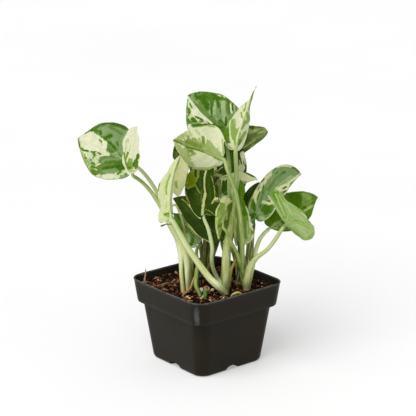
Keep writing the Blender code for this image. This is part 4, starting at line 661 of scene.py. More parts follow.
class Blade:
    """A leaf blade: a flat frame from its base to its tip, two margins in it and its lift above it."""

    def __init__(self, base, tip, left, right, facing, fold=(0.2, 0.2), curl=(0.0, 0.0), arch=0.06, rib=None,
                 phase=0.0):
        self.phase = phase
        self.base = seen(*base)
        turn, rise = math.radians(facing[0]), math.radians(facing[1])
        self.up = np.array([math.sin(turn) * math.cos(rise), -math.cos(turn) * math.cos(rise), math.sin(rise)])
        ray = sight(*tip)
        chord = VIEW_EYE + ray * (((self.base - VIEW_EYE) @ self.up) / (ray @ self.up)) - self.base
        self.length = float(np.linalg.norm(chord))
        self.along = chord / self.length
        self.across = np.cross(self.along, self.up)
        self.fold, self.curl, self.arch = fold, curl, arch
        self.sweep = 0.0
        if rib:
            x, y = self.traced(*rib)
            t = y / self.length
            self.sweep = x / (4 * t * (1 - t))
        self.margins = []
        for line in (left, right):
            points = [(0.0, 0.0, 0.0)]
            points += [(*self.traced(*place), 0.0) for place in line]
            points.append((0.0, self.length, 0.0))
            self.margins.append(even(smooth(points, 200)[:, :2]))

    def rib_x(self, y):
        t = np.clip(y / self.length, 0.0, 1.0)
        return self.sweep * 4 * t * (1 - t)

    def on_rib(self, y, below):
        """Point under the midrib, so far from the base and so far below the blade."""
        x = self.rib_x(y)
        return self.base + x * self.across + y * self.along + (self.lift(x, y) - below) * self.up

    def lift(self, x, y):
        """Height of the blade above its flat frame."""
        t = np.clip(y / self.length, 0.0, 1.0)
        x = x - self.rib_x(y)
        fold = np.where(x < 0, self.fold[0], self.fold[1])
        curl = np.where(x < 0, self.curl[0], self.curl[1])
        return fold * np.abs(x) + curl * x * x / (0.4 * self.length) + self.arch * self.length * 4 * t * (1 - t)

    def traced(self, u, v):
        """Frame coordinates of the blade's point that the view shows at (u, v)."""
        ray = sight(u, v)
        x = y = z = 0.0
        for _ in range(12):
            reach = ((self.base + self.up * z - VIEW_EYE) @ self.up) / (ray @ self.up)
            place = VIEW_EYE + ray * reach - self.base
            x, y = float(place @ self.across), float(place @ self.along)
            z = 0.5 * z + 0.5 * float(self.lift(x, y))
        return x, y

    def half(self, side, rows, cells):
        """Points of one half from midrib to margin, with their shares a and r and their distance from the rib."""
        margin = self.margins[side]
        a = np.linspace(0.0, 1.0, rows + 2)[1:-1, None]
        r = (np.arange(cells + 1) / cells)[None, :] ** 1.2
        share = a[:, 0] * (len(margin) - 1)
        end = [np.interp(share, np.arange(len(margin)), margin[:, i])[:, None] for i in (0, 1)]
        foot = self.length * np.maximum(0.0, (a - LOBE_SHARE) / (1 - LOBE_SHARE)) ** VEIN_RAKE
        rib = self.rib_x(foot)
        x = rib + (end[0] - rib) * r**0.95
        y = foot + (end[1] - foot) * r**1.4
        ease = np.minimum(1.0, np.minimum(5 * a, 5 * (1 - a)))
        wave = WAVE_HEIGHT * np.sin(2 * math.pi * WAVES * a + self.phase) * ease * r * r
        ripple = RIPPLE * np.sin(2 * math.pi * RIPPLES * a + 3 * self.phase) * ease * r**4
        quilt = QUILT * np.cos(2 * math.pi * VEINS * a) * np.sin(math.pi * r**0.8) * ease
        z = self.lift(x, y) + wave + ripple + quilt
        points = self.base + x[..., None] * self.across + y[..., None] * self.along + z[..., None] * self.up
        size = float(np.linalg.norm(np.diff(margin, axis=0), axis=1).sum())
        wide = float(np.abs(margin[:, 0]).max())
        off = np.abs(x - self.rib_x(y))
        return points, a + 0 * r, r + 0 * a, off, size, wide, y / self.length


def blade_mesh(name, blade):
    """A closed thin blade: both faces, with a groove over the midrib and a raised rib under it."""
    rows = int(np.clip(blade.length * 2.4, 40, 104))
    cells = int(np.clip(max(np.abs(m[:, 0]).max() for m in blade.margins) * 1.5, 9, 26))
    points = [blade.base[None], (blade.base + blade.along * blade.length)[None]]
    extra = [np.array([[0.0, 0.0, 0.0, 0.0, 0.0, 0.0]]), np.array([[1.0, 0.0, 0.0, 1.0, 0.0, 0.0]])]
    grids = []
    count = 2
    rib_index = None
    for side in (0, 1):
        p, a, r, off, size, wide, t = blade.half(side, rows, cells)
        grid = np.zeros((rows, cells + 1), int)
        if side == 0:
            on_lobe = a[:, 0] <= LOBE_SHARE
            rib_index = np.where(on_lobe, 0, count + np.cumsum(~on_lobe) - 1)
            keep = ~on_lobe
            points.append(p[keep, 0])
            extra.append(np.stack([t[keep, 0], r[keep, 0], off[keep, 0], t[keep, 0], a[keep, 0] * size, r[keep, 0]], 1))
            count += int(keep.sum())
        grid[:, 0] = rib_index
        grid[:, 1:] = count + np.arange(rows * cells).reshape(rows, cells)
        points.append(p[:, 1:].reshape(-1, 3))
        sign = -1.0 if side == 0 else 1.0
        extra.append(np.stack([a[:, 1:], r[:, 1:], off[:, 1:], t[:, 1:], a[:, 1:] * size, sign * r[:, 1:] * wide], -1).reshape(-1, 6))
        count += rows * cells
        grids.append(grid)
    points = np.concatenate(points)
    extra = np.concatenate(extra)
    veins = vein_lines(points, grids)
    tris = []
    for side, grid in enumerate(grids):
        grid = np.concatenate([grid, np.ones((1, cells + 1), int)])
        q = np.stack([grid[:-1, :-1], grid[:-1, 1:], grid[1:, 1:], grid[1:, :-1]], -1).reshape(-1, 4)
        two = np.concatenate([q[:, [0, 1, 2]], q[:, [0, 2, 3]]])
        tris.append(two if side else two[:, ::-1])
    tris = np.concatenate(tris)
    good = (tris[:, 0] != tris[:, 1]) & (tris[:, 1] != tris[:, 2]) & (tris[:, 0] != tris[:, 2])
    tris = tris[good]
    normal = np.zeros_like(points)
    face = np.cross(points[tris[:, 1]] - points[tris[:, 0]], points[tris[:, 2]] - points[tris[:, 0]])
    for i in range(3):
        np.add.at(normal, tris[:, i], face)
    normal /= np.maximum(np.linalg.norm(normal, axis=1), 1e-9)[:, None]
    if (normal @ blade.up).mean() < 0:
        tris = tris[:, ::-1]
        normal = -normal
    shared = np.zeros(len(points), bool)
    shared[[0, 1]] = True
    for grid in grids:
        shared[grid[:, -1]] = True
        shared[grid[0]] = True
    r, off, t = extra[:, 1], extra[:, 2], extra[:, 3]
    half = BLADE_THICKNESS / 2 * np.sqrt(1 - np.minimum(r, 0.999) ** 8)
    taper = 1 - 0.75 * np.clip(t, 0, 1)
    groove = 0.22 * np.exp(-((off / 0.7) ** 2)) * taper
    rib = 0.55 * np.exp(-((off / (0.75 * taper + 0.2)) ** 2)) * taper
    top = points + normal * (half - groove)[:, None]
    under = points - normal * (half + rib)[:, None]
    top[shared] = points[shared]
    low = np.arange(len(points))
    low[~shared] = len(points) + np.arange(int((~shared).sum()))
    verts = np.concatenate([top, under[~shared]])
    faces = np.concatenate([tris, low[tris[:, ::-1]]])
    both = np.concatenate([extra, extra[~shared]])
    side_of = np.concatenate([np.where(shared, 0.5, 0.0), np.ones(int((~shared).sum()))])
    middle = np.concatenate([points, points[~shared]])
    veins = np.concatenate([veins, veins[~shared]])
    mesh = mesh_of(name, pot_frame(verts), faces)
    return mesh, both, side_of, shown_at(middle), veins


def vein_lines(points, grids):
    """Direction in the view of the vein through each point."""
    places = shown_at(points)
    veins = np.zeros((len(points), 2))
    for grid in grids:
        ahead = np.gradient(places[grid], axis=1)
        veins[grid] = ahead / np.maximum(np.linalg.norm(ahead, axis=2), 1e-6)[..., None]
    return veins


def straying(veins, grain, seed):
    """How far the marks stray, mostly to and fro along the veins, so that they end in streaks."""
    out = np.zeros_like(veins)
    for i, (x, y, _) in enumerate(grain):
        long = noise.noise(Vector((x * STREAK_ACROSS, y * STREAK_ALONG, seed)))
        short = noise.noise(Vector((x * STREAK_ACROSS * 2.3, y * STREAK_ALONG * 2.0, seed + 5.0)))
        drift = noise.noise_vector(Vector((x * 0.22, y * 0.22, seed + 9.0)))
        out[i] += veins[i] * (STREAK_REACH * (long + 0.6 * short))
        out[i] += (STREAK_DRIFT * drift[0], STREAK_DRIFT * drift[1])
    return out


def mesh_of(name, points, faces, smooth_shaded=True):
    """A mesh of points in millimetres."""
    mesh = bpy.data.meshes.new(name)
    faces = [list(map(int, f)) for f in faces]
    mesh.from_pydata((np.asarray(points) * MM).tolist(), [], faces)
    mesh.validate()
    if smooth_shaded:
        mesh.shade_smooth()
    return mesh


def give(mesh, name, values):
    """A number, vector or colour for each point of a mesh."""
    values = np.asarray(values, np.float32)
    if values.ndim == 1:
        mesh.attributes.new(name, "FLOAT", "POINT").data.foreach_set("value", values)
    elif values.shape[1] == 3:
        mesh.attributes.new(name, "FLOAT_VECTOR", "POINT").data.foreach_set("vector", values.ravel())
    else:
        mesh.attributes.new(name, "FLOAT_COLOR", "POINT").data.foreach_set("color", values.ravel())


def from_stroke(places, stroke):
    """Distance of each place from a stroke of one or more points."""
    line = np.array(stroke, float)
    if len(line) == 1:
        return np.linalg.norm(places - line[0], axis=1)
    best = np.full(len(places), 1e9)
    for p, q in zip(line, line[1:]):
        d = q - p
        s = np.clip((places - p) @ d / (d @ d), 0, 1)
        best = np.minimum(best, np.linalg.norm(places - p - s[:, None] * d, axis=1))
    return best


def painted(places, stray, marks):
    """Cream, tone, flecks and yellowness at each place, after all marks in turn. Thin marks stray little."""
    out = np.zeros((len(places), 4))
    for letter, reach, *stroke in marks:
        moved = places + stray * min(1.0, max(0.1, (reach - 0.6) / 2.0))
        feather = min(FEATHER, 0.4 + 0.8 * reach)
        share = blend_step((reach - from_stroke(moved, stroke)) / feather + 0.5)
        for i, value in enumerate(MARKS[letter]):
            if value is not None:
                out[:, i] += share * (value - out[:, i])
    return out


class Nodes:
    """Short ways to add nodes to a material."""

    def __init__(self, name, roughness):
        found = bpy.data.materials.new(name)
        found.use_nodes = True
        self.material = found
        self.tree = found.node_tree
        self.shader = self.tree.nodes["Principled BSDF"]
        self.shader.inputs["Roughness"].default_value = roughness

    def node(self, kind, inputs=(), **settings):
        made = self.tree.nodes.new(kind)
        for key, value in settings.items():
            setattr(made, key, value)
        for key, value in dict(inputs).items():
            if hasattr(value, "is_linked"):
                self.tree.links.new(value, made.inputs[key])
            else:
                made.inputs[key].default_value = value
        return made

    def attribute(self, name):
        return self.node("ShaderNodeAttribute", attribute_name=name)

    def math(self, operation, *values, clamp=False):
        return self.node("ShaderNodeMath", dict(enumerate(values)), operation=operation, use_clamp=clamp).outputs[0]

    def noise(self, vector, scale, detail=3.0, roughness=0.55):
        made = self.node("ShaderNodeTexNoise", {"Vector": vector, "Scale": scale, "Detail": detail, "Roughness": roughness})
        return made.outputs["Fac"]

    def stretched(self, vector, scale, shift=(0.0, 0.0, 0.0)):
        return self.node("ShaderNodeMapping", {"Vector": vector, "Scale": scale, "Location": shift}).outputs[0]

    def mix(self, share, one, two, blend="MIX"):
        made = self.node("ShaderNodeMix", data_type="RGBA", blend_type=blend)
        for socket, value in zip((made.inputs[0], made.inputs[6], made.inputs[7]), (share, one, two)):
            if hasattr(value, "is_linked"):
                self.tree.links.new(value, socket)
            elif isinstance(value, tuple):
                socket.default_value = (*value, 1.0)
            else:
                socket.default_value = value
        return made.outputs[2]

    def ramp(self, value, stops):
        made = self.node("ShaderNodeValToRGB", {"Fac": value})
        ramp = made.color_ramp
        while len(ramp.elements) < len(stops):
            ramp.elements.new(0.5)
        for element, (place, colour) in zip(ramp.elements, stops):
            element.position = place
            element.color = (*colour, 1.0)
        return made.outputs[0]

    def smooth_range(self, value, low, high, to_low=0.0, to_high=1.0):
        made = self.node("ShaderNodeMapRange", {0: value, 1: low, 2: high, 3: to_low, 4: to_high},
                         interpolation_type="SMOOTHSTEP")
        return made.outputs[0]

    def bump(self, height, distance, strength=1.0, normal=None):
        inputs = {"Height": height, "Distance": distance, "Strength": strength}
        if normal is not None:
            inputs["Normal"] = normal
        return self.node("ShaderNodeBump", inputs).outputs[0]

    def link(self, key, value):
        self.tree.links.new(value, self.shader.inputs[key])


def leaf_look(name, seed, cream, greens, far, under):
    """Variegated waxy leaf: marks with edges that follow the veins, flecks, fine veins and a pale midrib."""
    n = Nodes(name, 0.5 if under else 0.42)
    marks = n.attribute("marks")
    pattern = n.node("ShaderNodeSeparateColor", {0: marks.outputs["Color"]})
    cream_share, tone, flecks = pattern.outputs[0], pattern.outputs[1], pattern.outputs[2]
    yellow = marks.outputs["Alpha"]
    grain = n.attribute("grain").outputs["Vector"]
    shift = (seed * 7.3, seed * 3.1, 0.0)
    ragged = n.math("SUBTRACT", n.noise(n.stretched(grain, (0.75, 0.22, 1.0), shift), 1.0, 5.0, 0.62), 0.5)
    fine = n.math("SUBTRACT", n.noise(n.stretched(grain, (1.2, 0.75, 1.0), shift), 1.0, 4.0, 0.6), 0.5)
    soft = n.math("SUBTRACT", n.noise(n.stretched(grain, (0.12, 0.07, 1.0), shift), 1.0, 2.0, 0.5), 0.5)
    hair = n.math("SUBTRACT", n.noise(n.stretched(grain, (2.8, 0.16, 1.0), shift), 1.0, 2.0, 0.5), 0.5)
    edge = n.math("MULTIPLY_ADD", ragged, 0.8, cream_share)
    edge = n.math("MULTIPLY_ADD", n.math("MULTIPLY", fine, flecks), 3.2, edge)
    width = SOFT_EDGE if under else EDGE
    mask = n.smooth_range(edge, 0.5 - width, 0.5 + width)
    halo = n.smooth_range(edge, 0.34 - 1.4 * width, 0.46)
    shade = n.math("MULTIPLY_ADD", ragged, 0.36, tone)
    shade = n.math("MULTIPLY_ADD", n.math("MULTIPLY", fine, flecks), -1.0, shade)
    shade = n.math("MULTIPLY_ADD", hair, 0.24, shade)
    shade = n.math("MULTIPLY_ADD", soft, 0.24, shade, clamp=True)
    green = n.ramp(shade, list(zip((0.0, 0.25, 0.5, 0.75, 1.0), greens)))
    green = n.mix(n.math("MINIMUM", n.math("MAXIMUM", yellow, n.math("MULTIPLY", flecks, 0.7)), 1.0), green, VIVID)
    green = n.mix(n.math("MULTIPLY", halo, 0.9), green, greens[5])
    pale = n.mix(n.smooth_range(hair, -0.1, 0.22, 0.0, 0.30), cream, greens[5])
    pale = n.mix(n.smooth_range(soft, -0.05, 0.25, 0.0, 0.30), pale, greens[4])
    pale = n.mix(n.math("MULTIPLY", yellow, 1.0, clamp=True), pale, YELLOW_GREEN)
    pale = n.mix(n.smooth_range(yellow, 1.2, 1.7), pale, BROWN)
    colour = n.mix(mask, green, pale)
    rib = n.attribute("rib").outputs["Fac"]
    colour = n.mix(n.math("MULTIPLY", rib, 0.15 if under or greens is DEEP else 0.42), colour, greens[4])
    vein = n.attribute("vein").outputs["Fac"]
    colour = n.mix(n.math("MULTIPLY", vein, 0.16), colour, greens[4])
    colour = n.mix(1.0, colour, n.ramp(n.math("ADD", hair, 0.5), [(0.25, (0.90, 0.91, 0.88)), (0.75, (1.08, 1.07, 1.09))]), "MULTIPLY")
    sand = n.noise(n.stretched(grain, (1.1, 0.55, 1.0), shift), 1.0, 5.0, 0.7)
    colour = n.mix(1.0, colour, n.ramp(sand, [(0.30, (0.80, 0.83, 0.78)), (0.70, (1.20, 1.17, 1.20))]), "MULTIPLY")
    other = n.attribute("other_face").outputs["Fac"]
    colour = n.mix(n.math("MULTIPLY", other, far[0]), colour, far[1])
    n.link("Base Color", colour)
    n.shader.inputs["Subsurface Weight"].default_value = 0.10
    n.shader.inputs["Subsurface Radius"].default_value = (1.0, 1.2, 0.4)
    n.shader.inputs["Subsurface Scale"].default_value = 0.0010
    n.shader.inputs["Specular IOR Level"].default_value = LEAF_SHINE
    height = n.math("ADD", n.math("MULTIPLY", hair, 0.6), n.math("MULTIPLY", fine, 0.4))
    n.link("Normal", n.bump(height, 0.00010, 0.5))
    return n.material


def dress(name, mesh, material, slot, *nodes):
    """A piece that rides on the root and, where nodes are named, stands for them."""
    thing = bpy.data.objects.new(name, mesh)
    bpy.context.scene.collection.objects.link(thing)
    mesh.materials.clear()
    mesh.materials.append(material)
    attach(thing, "root")
    if nodes:
        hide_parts(*nodes)
    return thing


def leaves():
    """All blades. Returns them by name."""
    blades = {name: Blade(**shape, phase=1.7 * i) for i, (name, shape) in enumerate(LEAVES.items())}
    for i, (name, blade) in enumerate(blades.items()):
        mesh, extra, side_of, places, veins = blade_mesh(name, blade)
        grain = np.stack([extra[:, 4], extra[:, 5], 0 * extra[:, 5]], 1)
        give(mesh, "marks", painted(places, straying(veins, grain, i), PATTERNS[name]))
        give(mesh, "grain", grain)
        taper = 1 - 0.6 * extra[:, 3]
        give(mesh, "rib", np.exp(-((extra[:, 2] / (0.65 * taper)) ** 2)) * taper)
        apart = np.abs((extra[:, 0] * VEINS) % 1.0 - 0.5) / VEINS * extra[:, 4].max()
        give(mesh, "vein", np.exp(-((apart / 0.45) ** 2)) * (1 - extra[:, 1]) * np.clip(4 * extra[:, 1], 0, 1))
        under = blade.up @ (VIEW_EYE - blade.base) < 0
        give(mesh, "other_face", 1 - side_of if under else side_of)
        cream, greens = CREAMS.get(name, CREAM), GREENS.get(name, GREEN)
        far = (0.35, greens[1]) if under else (0.45, greens[4])
        dress(f"{name}_fine", mesh, leaf_look(f"{name}_look", i + 1, cream, greens, far, under), "leaf", name)
    return blades


def route(points, blade):
    """Smooth path of a stem, with its radius: from inside its hole into the midrib of its leaf."""
    path = []
    for u, v, depth, radius in points:
        spot = seen(u, v, depth)
        if depth is None:
            path.append((*(spot - [0, 0, ROOT_DEPTH]), radius))
            path.append((*(spot + [0, 0, 0.5]), radius))
        else:
            path.append((*spot, radius))
    if blade is not None:
        last = path[-1][3]
        size = min(1.0, blade.length / 50)
        for reach, below, share in RIB_JOIN:
            path.append((*blade.on_rib(reach * size, below), last * share))
    curve = smooth(path, 30 + len(points) * 9)
    curve[:, :3] = pot_frame(curve[:, :3])
    return curve


def tube(path, sides=STEM_SIDES, groove=0.1):
    """Points and faces of a tapered stem, with each point's distance from the foot, angle and how squarely it faces the
    view, which sets the painted shade on its sides.
    """
    spots, radius = path[:, :3], path[:, 3]
    ahead = np.gradient(spots, axis=0)
    ahead /= np.linalg.norm(ahead, axis=1)[:, None]
    frame_x = np.cross(ahead[0], [0.0, 1.0, 0.3])
    rings, fronts = [], []
    for spot, along, size in zip(spots, ahead, radius):
        frame_x = frame_x - (frame_x @ along) * along
        frame_x /= np.linalg.norm(frame_x)
        frame_y = np.cross(along, frame_x)
        angle = np.arange(sides) / sides * 2 * math.pi
        dip = 1 - groove * np.exp(-((np.angle(np.exp(1j * (angle - 1.9))) / 0.35) ** 2))
        ring = np.cos(angle)[:, None] * frame_x + np.sin(angle)[:, None] * frame_y
        rings.append(spot + ring * (size * dip)[:, None])
        # How squarely each point faces the view, which sets the painted shade on the stem's sides
        fronts.append(np.abs(ring @ STEM_LIT_SIDE))
    count = len(spots)
    points = np.concatenate(rings + [spots[:1], spots[-1:]])
    faces = []
    for k in range(count - 1):
        for i in range(sides):
            j = (i + 1) % sides
            faces.append([k * sides + i, k * sides + j, (k + 1) * sides + j, (k + 1) * sides + i])
    for i in range(sides):
        j = (i + 1) % sides
        faces.append([count * sides, j, i])
        faces.append([count * sides + 1, (count - 1) * sides + i, (count - 1) * sides + j])
    length = np.concatenate([[0], np.cumsum(np.linalg.norm(np.diff(spots, axis=0), axis=1))])
    s = np.concatenate([np.repeat(length, sides), [0, length[-1]]])
    theta = np.concatenate([np.tile(np.arange(sides) / sides * 2 * math.pi, count), [0, 0]])
    return points, faces, s, theta, np.concatenate(fronts + [[0, 0]])


def joined(parts):
    """Points and faces of several bodies as one, with any values at their points."""
    start = 0
    points, faces, values = [], [], []
    for p, f, *v in parts:
        faces += [[i + start for i in face] for face in f]
        points.append(p)
        values.append(v)
        start += len(p)
    return np.concatenate(points), faces, [np.concatenate(v) for v in zip(*values)]


def tinted(s, colours):
    """Colour at each distance from the foot, from colours spread evenly along it."""
    stops = np.linspace(0, s.max(), len(colours))
    table = np.array([linear(*c) for c in colours])
    return np.stack([np.interp(s, stops, table[:, i]) for i in range(3)] + [np.ones(len(s))], 1)


def stem_look(name, roughness=0.42):
    """Smooth stem with fine streaks along it, and painted shade on the sides that turn away from the view."""
    n = Nodes(name, roughness)
    tint = n.attribute("tint").outputs["Color"]
    grain = n.attribute("grain").outputs["Vector"]
    streak = n.noise(n.stretched(grain, (0.9, 0.9, 0.03)), 1.0, 4.0, 0.7)
    line = n.noise(n.stretched(grain, (1.4, 1.4, 0.05), (7.0, 2.0, 0.0)), 1.0, 3.0, 0.6)
    patch = n.noise(n.stretched(grain, (0.6, 0.6, 0.10)), 1.0, 2.0, 0.5)
    speck = n.noise(n.stretched(grain, (1.2, 1.2, 0.4)), 1.0, 3.0, 0.6)
    # Painted shade: the sides that turn away from the view take the darker, greener side tint
    side = n.math("ADD", n.attribute("lit_facing").outputs["Fac"], n.math("MULTIPLY_ADD", streak, 0.7, -0.35))
    tint = n.mix(n.smooth_range(side, 0.35, 0.78, 0.75, 0.0), tint, n.mix(1.0, tint, SIDE_SHADE_TINT, "MULTIPLY"))
    colour = n.mix(n.smooth_range(streak, 0.48, 0.60, 0.0, 0.55), tint, n.mix(1.0, tint, (0.56, 0.66, 0.36), "MULTIPLY"))
    colour = n.mix(n.smooth_range(patch, 0.48, 0.64, 0.0, 0.45), colour, n.mix(0.5, tint, linear(226, 228, 186)))
    colour = n.mix(n.smooth_range(line, 0.60, 0.68, 0.0, 0.45), colour, n.mix(1.0, tint, (0.40, 0.46, 0.20), "MULTIPLY"))
    colour = n.mix(n.smooth_range(speck, 0.66, 0.72, 0.0, 0.55), colour, linear(112, 78, 44))
    n.link("Base Color", colour)
    n.shader.inputs["Specular IOR Level"].default_value = STEM_SHINE
    n.shader.inputs["Subsurface Weight"].default_value = 0.06
    n.shader.inputs["Subsurface Radius"].default_value = (1.0, 1.2, 0.4)
    n.shader.inputs["Subsurface Scale"].default_value = 0.0015
    n.link("Normal", n.bump(streak, 0.00015, 0.5))
    return n.material


def stems(blades):
    looks = {"stem": stem_look("stem_look"), "dry": stem_look("dry_root_look", 0.8)}
    for number, (node, group) in enumerate(STEMS.items()):
        parts = []
        for i, (name, points) in enumerate(group.items()):
            p, f, s, theta, lit_facing = tube(route(points, blades.get(name)))
            tints = STEM_TINTS.get(name, DULL_STEM)
            if node == "stems_back":
                tints = DULL_STEM
            side = 9.0 * i + 31.0 * number
            grain = np.stack([2 * np.cos(theta) + side, 2 * np.sin(theta), s], 1)
            parts.append((p, f, tinted(s, tints), grain, lit_facing))
        if node == "cut_stub":
            parts.append(stub_ring(STEMS[node]["stub"][-1]))
        p, f, (tint, grain, lit_facing) = joined(parts)
        mesh = mesh_of(node, p, f)
        give(mesh, "tint", tint)
        give(mesh, "grain", grain)
        give(mesh, "lit_facing", lit_facing)
        dry = node == "dry_root"
        dress(f"{node}_fine", mesh, looks["dry" if dry else "stem"], "dry_root" if dry else "stem", node)


def stub_ring(spot):
    """Dried brown ring round the cut end of the stub."""
    u, v, depth, radius = spot
    middle = seen(u, v, depth)
    toward = np.array(STUB_CUT) / np.linalg.norm(STUB_CUT)
    x = np.cross(toward, [0.0, 1.0, 0.0])
    x /= np.linalg.norm(x)
    y = np.cross(toward, x)
    sides = 28
    angle = np.arange(sides) / sides * 2 * math.pi
    profile = [(1.0, -1.6), (1.06, -0.4), (1.08, 0.3), (0.98, 0.65), (0.75, 0.6), (0.45, 0.1), (0.3, -0.2)]
    rings = []
    for share, height in profile:
        wobble = 1 + 0.03 * np.sin(3 * angle + 5 * height)
        rings.append(middle + toward * height + (np.cos(angle)[:, None] * x + np.sin(angle)[:, None] * y) * (radius * share * wobble)[:, None])
    points = np.concatenate(rings + [(middle + toward * -0.3)[None], (middle - toward * 1.6)[None]])
    faces = []
    for k in range(len(profile) - 1):
        for i in range(sides):
            j = (i + 1) % sides
            faces.append([k * sides + i, (k + 1) * sides + i, (k + 1) * sides + j, k * sides + j])
    last = len(profile) * sides
    for i in range(sides):
        j = (i + 1) % sides
        faces.append([last - sides + i, last, last - sides + j])
        faces.append([i, j, last + 1])
    green, brown, dark = linear(86, 122, 34), linear(176, 124, 92), linear(84, 48, 34)
    shades = [green, green, brown, brown, brown, dark, dark]
    tint = np.concatenate([np.tile([*c, 1.0], (sides, 1)) for c in shades] + [[[*dark, 1.0]], [[*green, 1.0]]])
    return pot_frame(points), faces, tint, points * 0.5, np.ones(len(points))


def square_ring(half, corner, z, bow=0.0, corner_steps=12, side_steps=12):
    """Points of a square with rounded corners, its sides bowed outward, round from the middle of its +X side."""
    ring = []
    straight = half - corner
    for quarter in range(4):
        angle = math.pi / 2 * quarter
        c, s = math.cos(angle), math.sin(angle)
        side = [(half + bow * (1 - (i / side_steps) ** 2), straight * i / side_steps) for i in range(side_steps)]
        for i in range(corner_steps + 1):
            a = math.pi / 2 * i / corner_steps
            side.append((straight + corner * math.cos(a), straight + corner * math.sin(a)))
        side += [(straight * i / side_steps, half + bow * (1 - (i / side_steps) ** 2)) for i in range(side_steps - 1, 0, -1)]
        ring += [(x * c - y * s, x * s + y * c, z) for x, y in side]
    return ring


def skin(rings, peak=None):
    """Points and faces of a body through rings of points, closed by flat ends or, on top, by a peak."""
    points = [p for ring in rings for p in ring]
    n = len(rings[0])
    last = len(points) - n
    faces = [list(range(n))[::-1]]
    if peak is None:
        faces.append(list(range(last, last + n)))
    else:
        faces += [[last + i, last + (i + 1) % n, last + n] for i in range(n)]
        points.append(peak)
    for k in range(len(rings) - 1):
        for i in range(n):
            j = (i + 1) % n
            low, high = k * n, (k + 1) * n
            faces.append([low + i, low + j, high + j, high + i])
    return np.array(points), faces


def inner_half(z):
    """Half width of the pot's inside at a height."""
    band = POT_HEIGHT - BAND_HEIGHT
    if z <= band:
        return BASE_HALF + (BODY_HALF - BASE_HALF) * z / band - WALL
    return BAND_HALF + (RIM_HALF - BAND_HALF) * (z - band) / BAND_HEIGHT - WALL


def corner_at(z):
    return BASE_CORNER + (RIM_CORNER - BASE_CORNER) * z / POT_HEIGHT


def pot():
    """Thin square pot with a rolled rim, a step under its band and drain notches."""
    band = POT_HEIGHT - BAND_HEIGHT
    body = [(BASE_HALF + 0.3 + (BODY_HALF - BASE_HALF - 0.3) * k / 8, 3.0 + (band - 4.0) * k / 8) for k in range(9)]
    belt = [(BAND_HALF + (RIM_HALF - 0.35 - BAND_HALF) * k / 5, band + 0.8 + (BAND_HEIGHT - 2.4) * k / 5) for k in range(6)]
    outline = [(BASE_HALF - 3.0, 0.0), (BASE_HALF - 1.7, 0.15), (BASE_HALF - 0.7, 0.8), (BASE_HALF - 0.1, 1.8)]
    outline += body
    outline += [(BODY_HALF + 0.4, band - 0.55), (BAND_HALF - 1.2, band - 0.1), (BAND_HALF - 0.35, band + 0.15)]
    outline += belt
    outline += [(RIM_HALF - 0.05, POT_HEIGHT - 1.0), (RIM_HALF, POT_HEIGHT - 0.6), (RIM_HALF - 0.12, POT_HEIGHT - 0.2),
                (RIM_HALF - 0.4, POT_HEIGHT)]
    inside = [(RIM_HALF - WALL + 0.3, POT_HEIGHT), (RIM_HALF - WALL, POT_HEIGHT - 0.4), (inner_half(band + 0.6), band + 0.6),
              (inner_half(band - 1.0), band - 1.0), (inner_half(FLOOR + 1), FLOOR + 1), (inner_half(FLOOR) - 1, FLOOR)]
    rings = [square_ring(half, corner_at(z), z, POT_BOW * (z / POT_HEIGHT) ** 2) for half, z in outline]
    rings += [square_ring(half, corner_at(z) - WALL, z, POT_BOW * (z / POT_HEIGHT) ** 2) for half, z in inside]
    points, faces = skin(rings)
    mesh = solid("pot", points, faces)
    for quarter in range(4):
        mesh = boolean(mesh, tunnel(quarter, WALL, FLOOR / 2, BASE_HALF - FLOOR / 2), "UNION")
    for quarter in range(4):
        mesh = boolean(mesh, tunnel(quarter, 0.0, BELOW_BASE, BASE_HALF + BEYOND_WALL), "DIFFERENCE")
    mesh.shade_smooth()
    mesh.set_sharp_from_angle(angle=math.radians(32))
    dress("pot_fine", mesh, pot_look(), "pot", "pot")


def tunnel(quarter, extra, low, outer):
    """Arched body that runs inward from a drain notch, set out by an extra thickness on its sides and top."""
    ends = ((outer, 1.0), (BASE_HALF - WALL, 1.0), (BASE_HALF - NOTCH_REACH - extra, TUNNEL_END))
    rings = []
    for y, share in ends:
        half = NOTCH_WIDTH / 2 * (1 + share) / 2 + extra
        rise = NOTCH_HEIGHT * share + extra - low
        ring = []
        for i in range(NOTCH_STEPS + 1):
            c, s = math.cos(math.pi * i / NOTCH_STEPS), math.sin(math.pi * i / NOTCH_STEPS)
            x = math.copysign(abs(c) ** ARCH_POWER, c) * half
            ring.append((x, y, low + rise * max(s, 0.0) ** ARCH_POWER))
        rings.append(ring)
    points, faces = skin(rings)
    c, s = math.cos(math.pi / 2 * quarter), math.sin(math.pi / 2 * quarter)
    return solid("tunnel", points @ np.array([[c, s, 0], [-s, c, 0], [0, 0, 1.0]]), faces)


def solid(name, points, faces):
    """A closed mesh of points in millimetres with its faces turned outward."""
    mesh = mesh_of(name, points, faces, smooth_shaded=False)
    body = bmesh.new()
    body.from_mesh(mesh)
    bmesh.ops.recalc_face_normals(body, faces=body.faces)
    body.to_mesh(mesh)
    body.free()
    return mesh


def boolean(mesh, tool_mesh, operation):
    """The mesh cut by, or joined to, the tool."""
    thing = bpy.data.objects.new("shape", mesh)
    tool = bpy.data.objects.new("tool", tool_mesh)
    for each in (thing, tool):
        bpy.context.scene.collection.objects.link(each)
    step = thing.modifiers.new("boolean", "BOOLEAN")
    step.operation = operation
    step.object = tool
    step.solver = "EXACT"
    graph = bpy.context.evaluated_depsgraph_get()
    graph.update()
    made = bpy.data.meshes.new_from_object(thing.evaluated_get(graph))
    for each in (thing, tool):
        bpy.data.objects.remove(each, do_unlink=True)
    return made


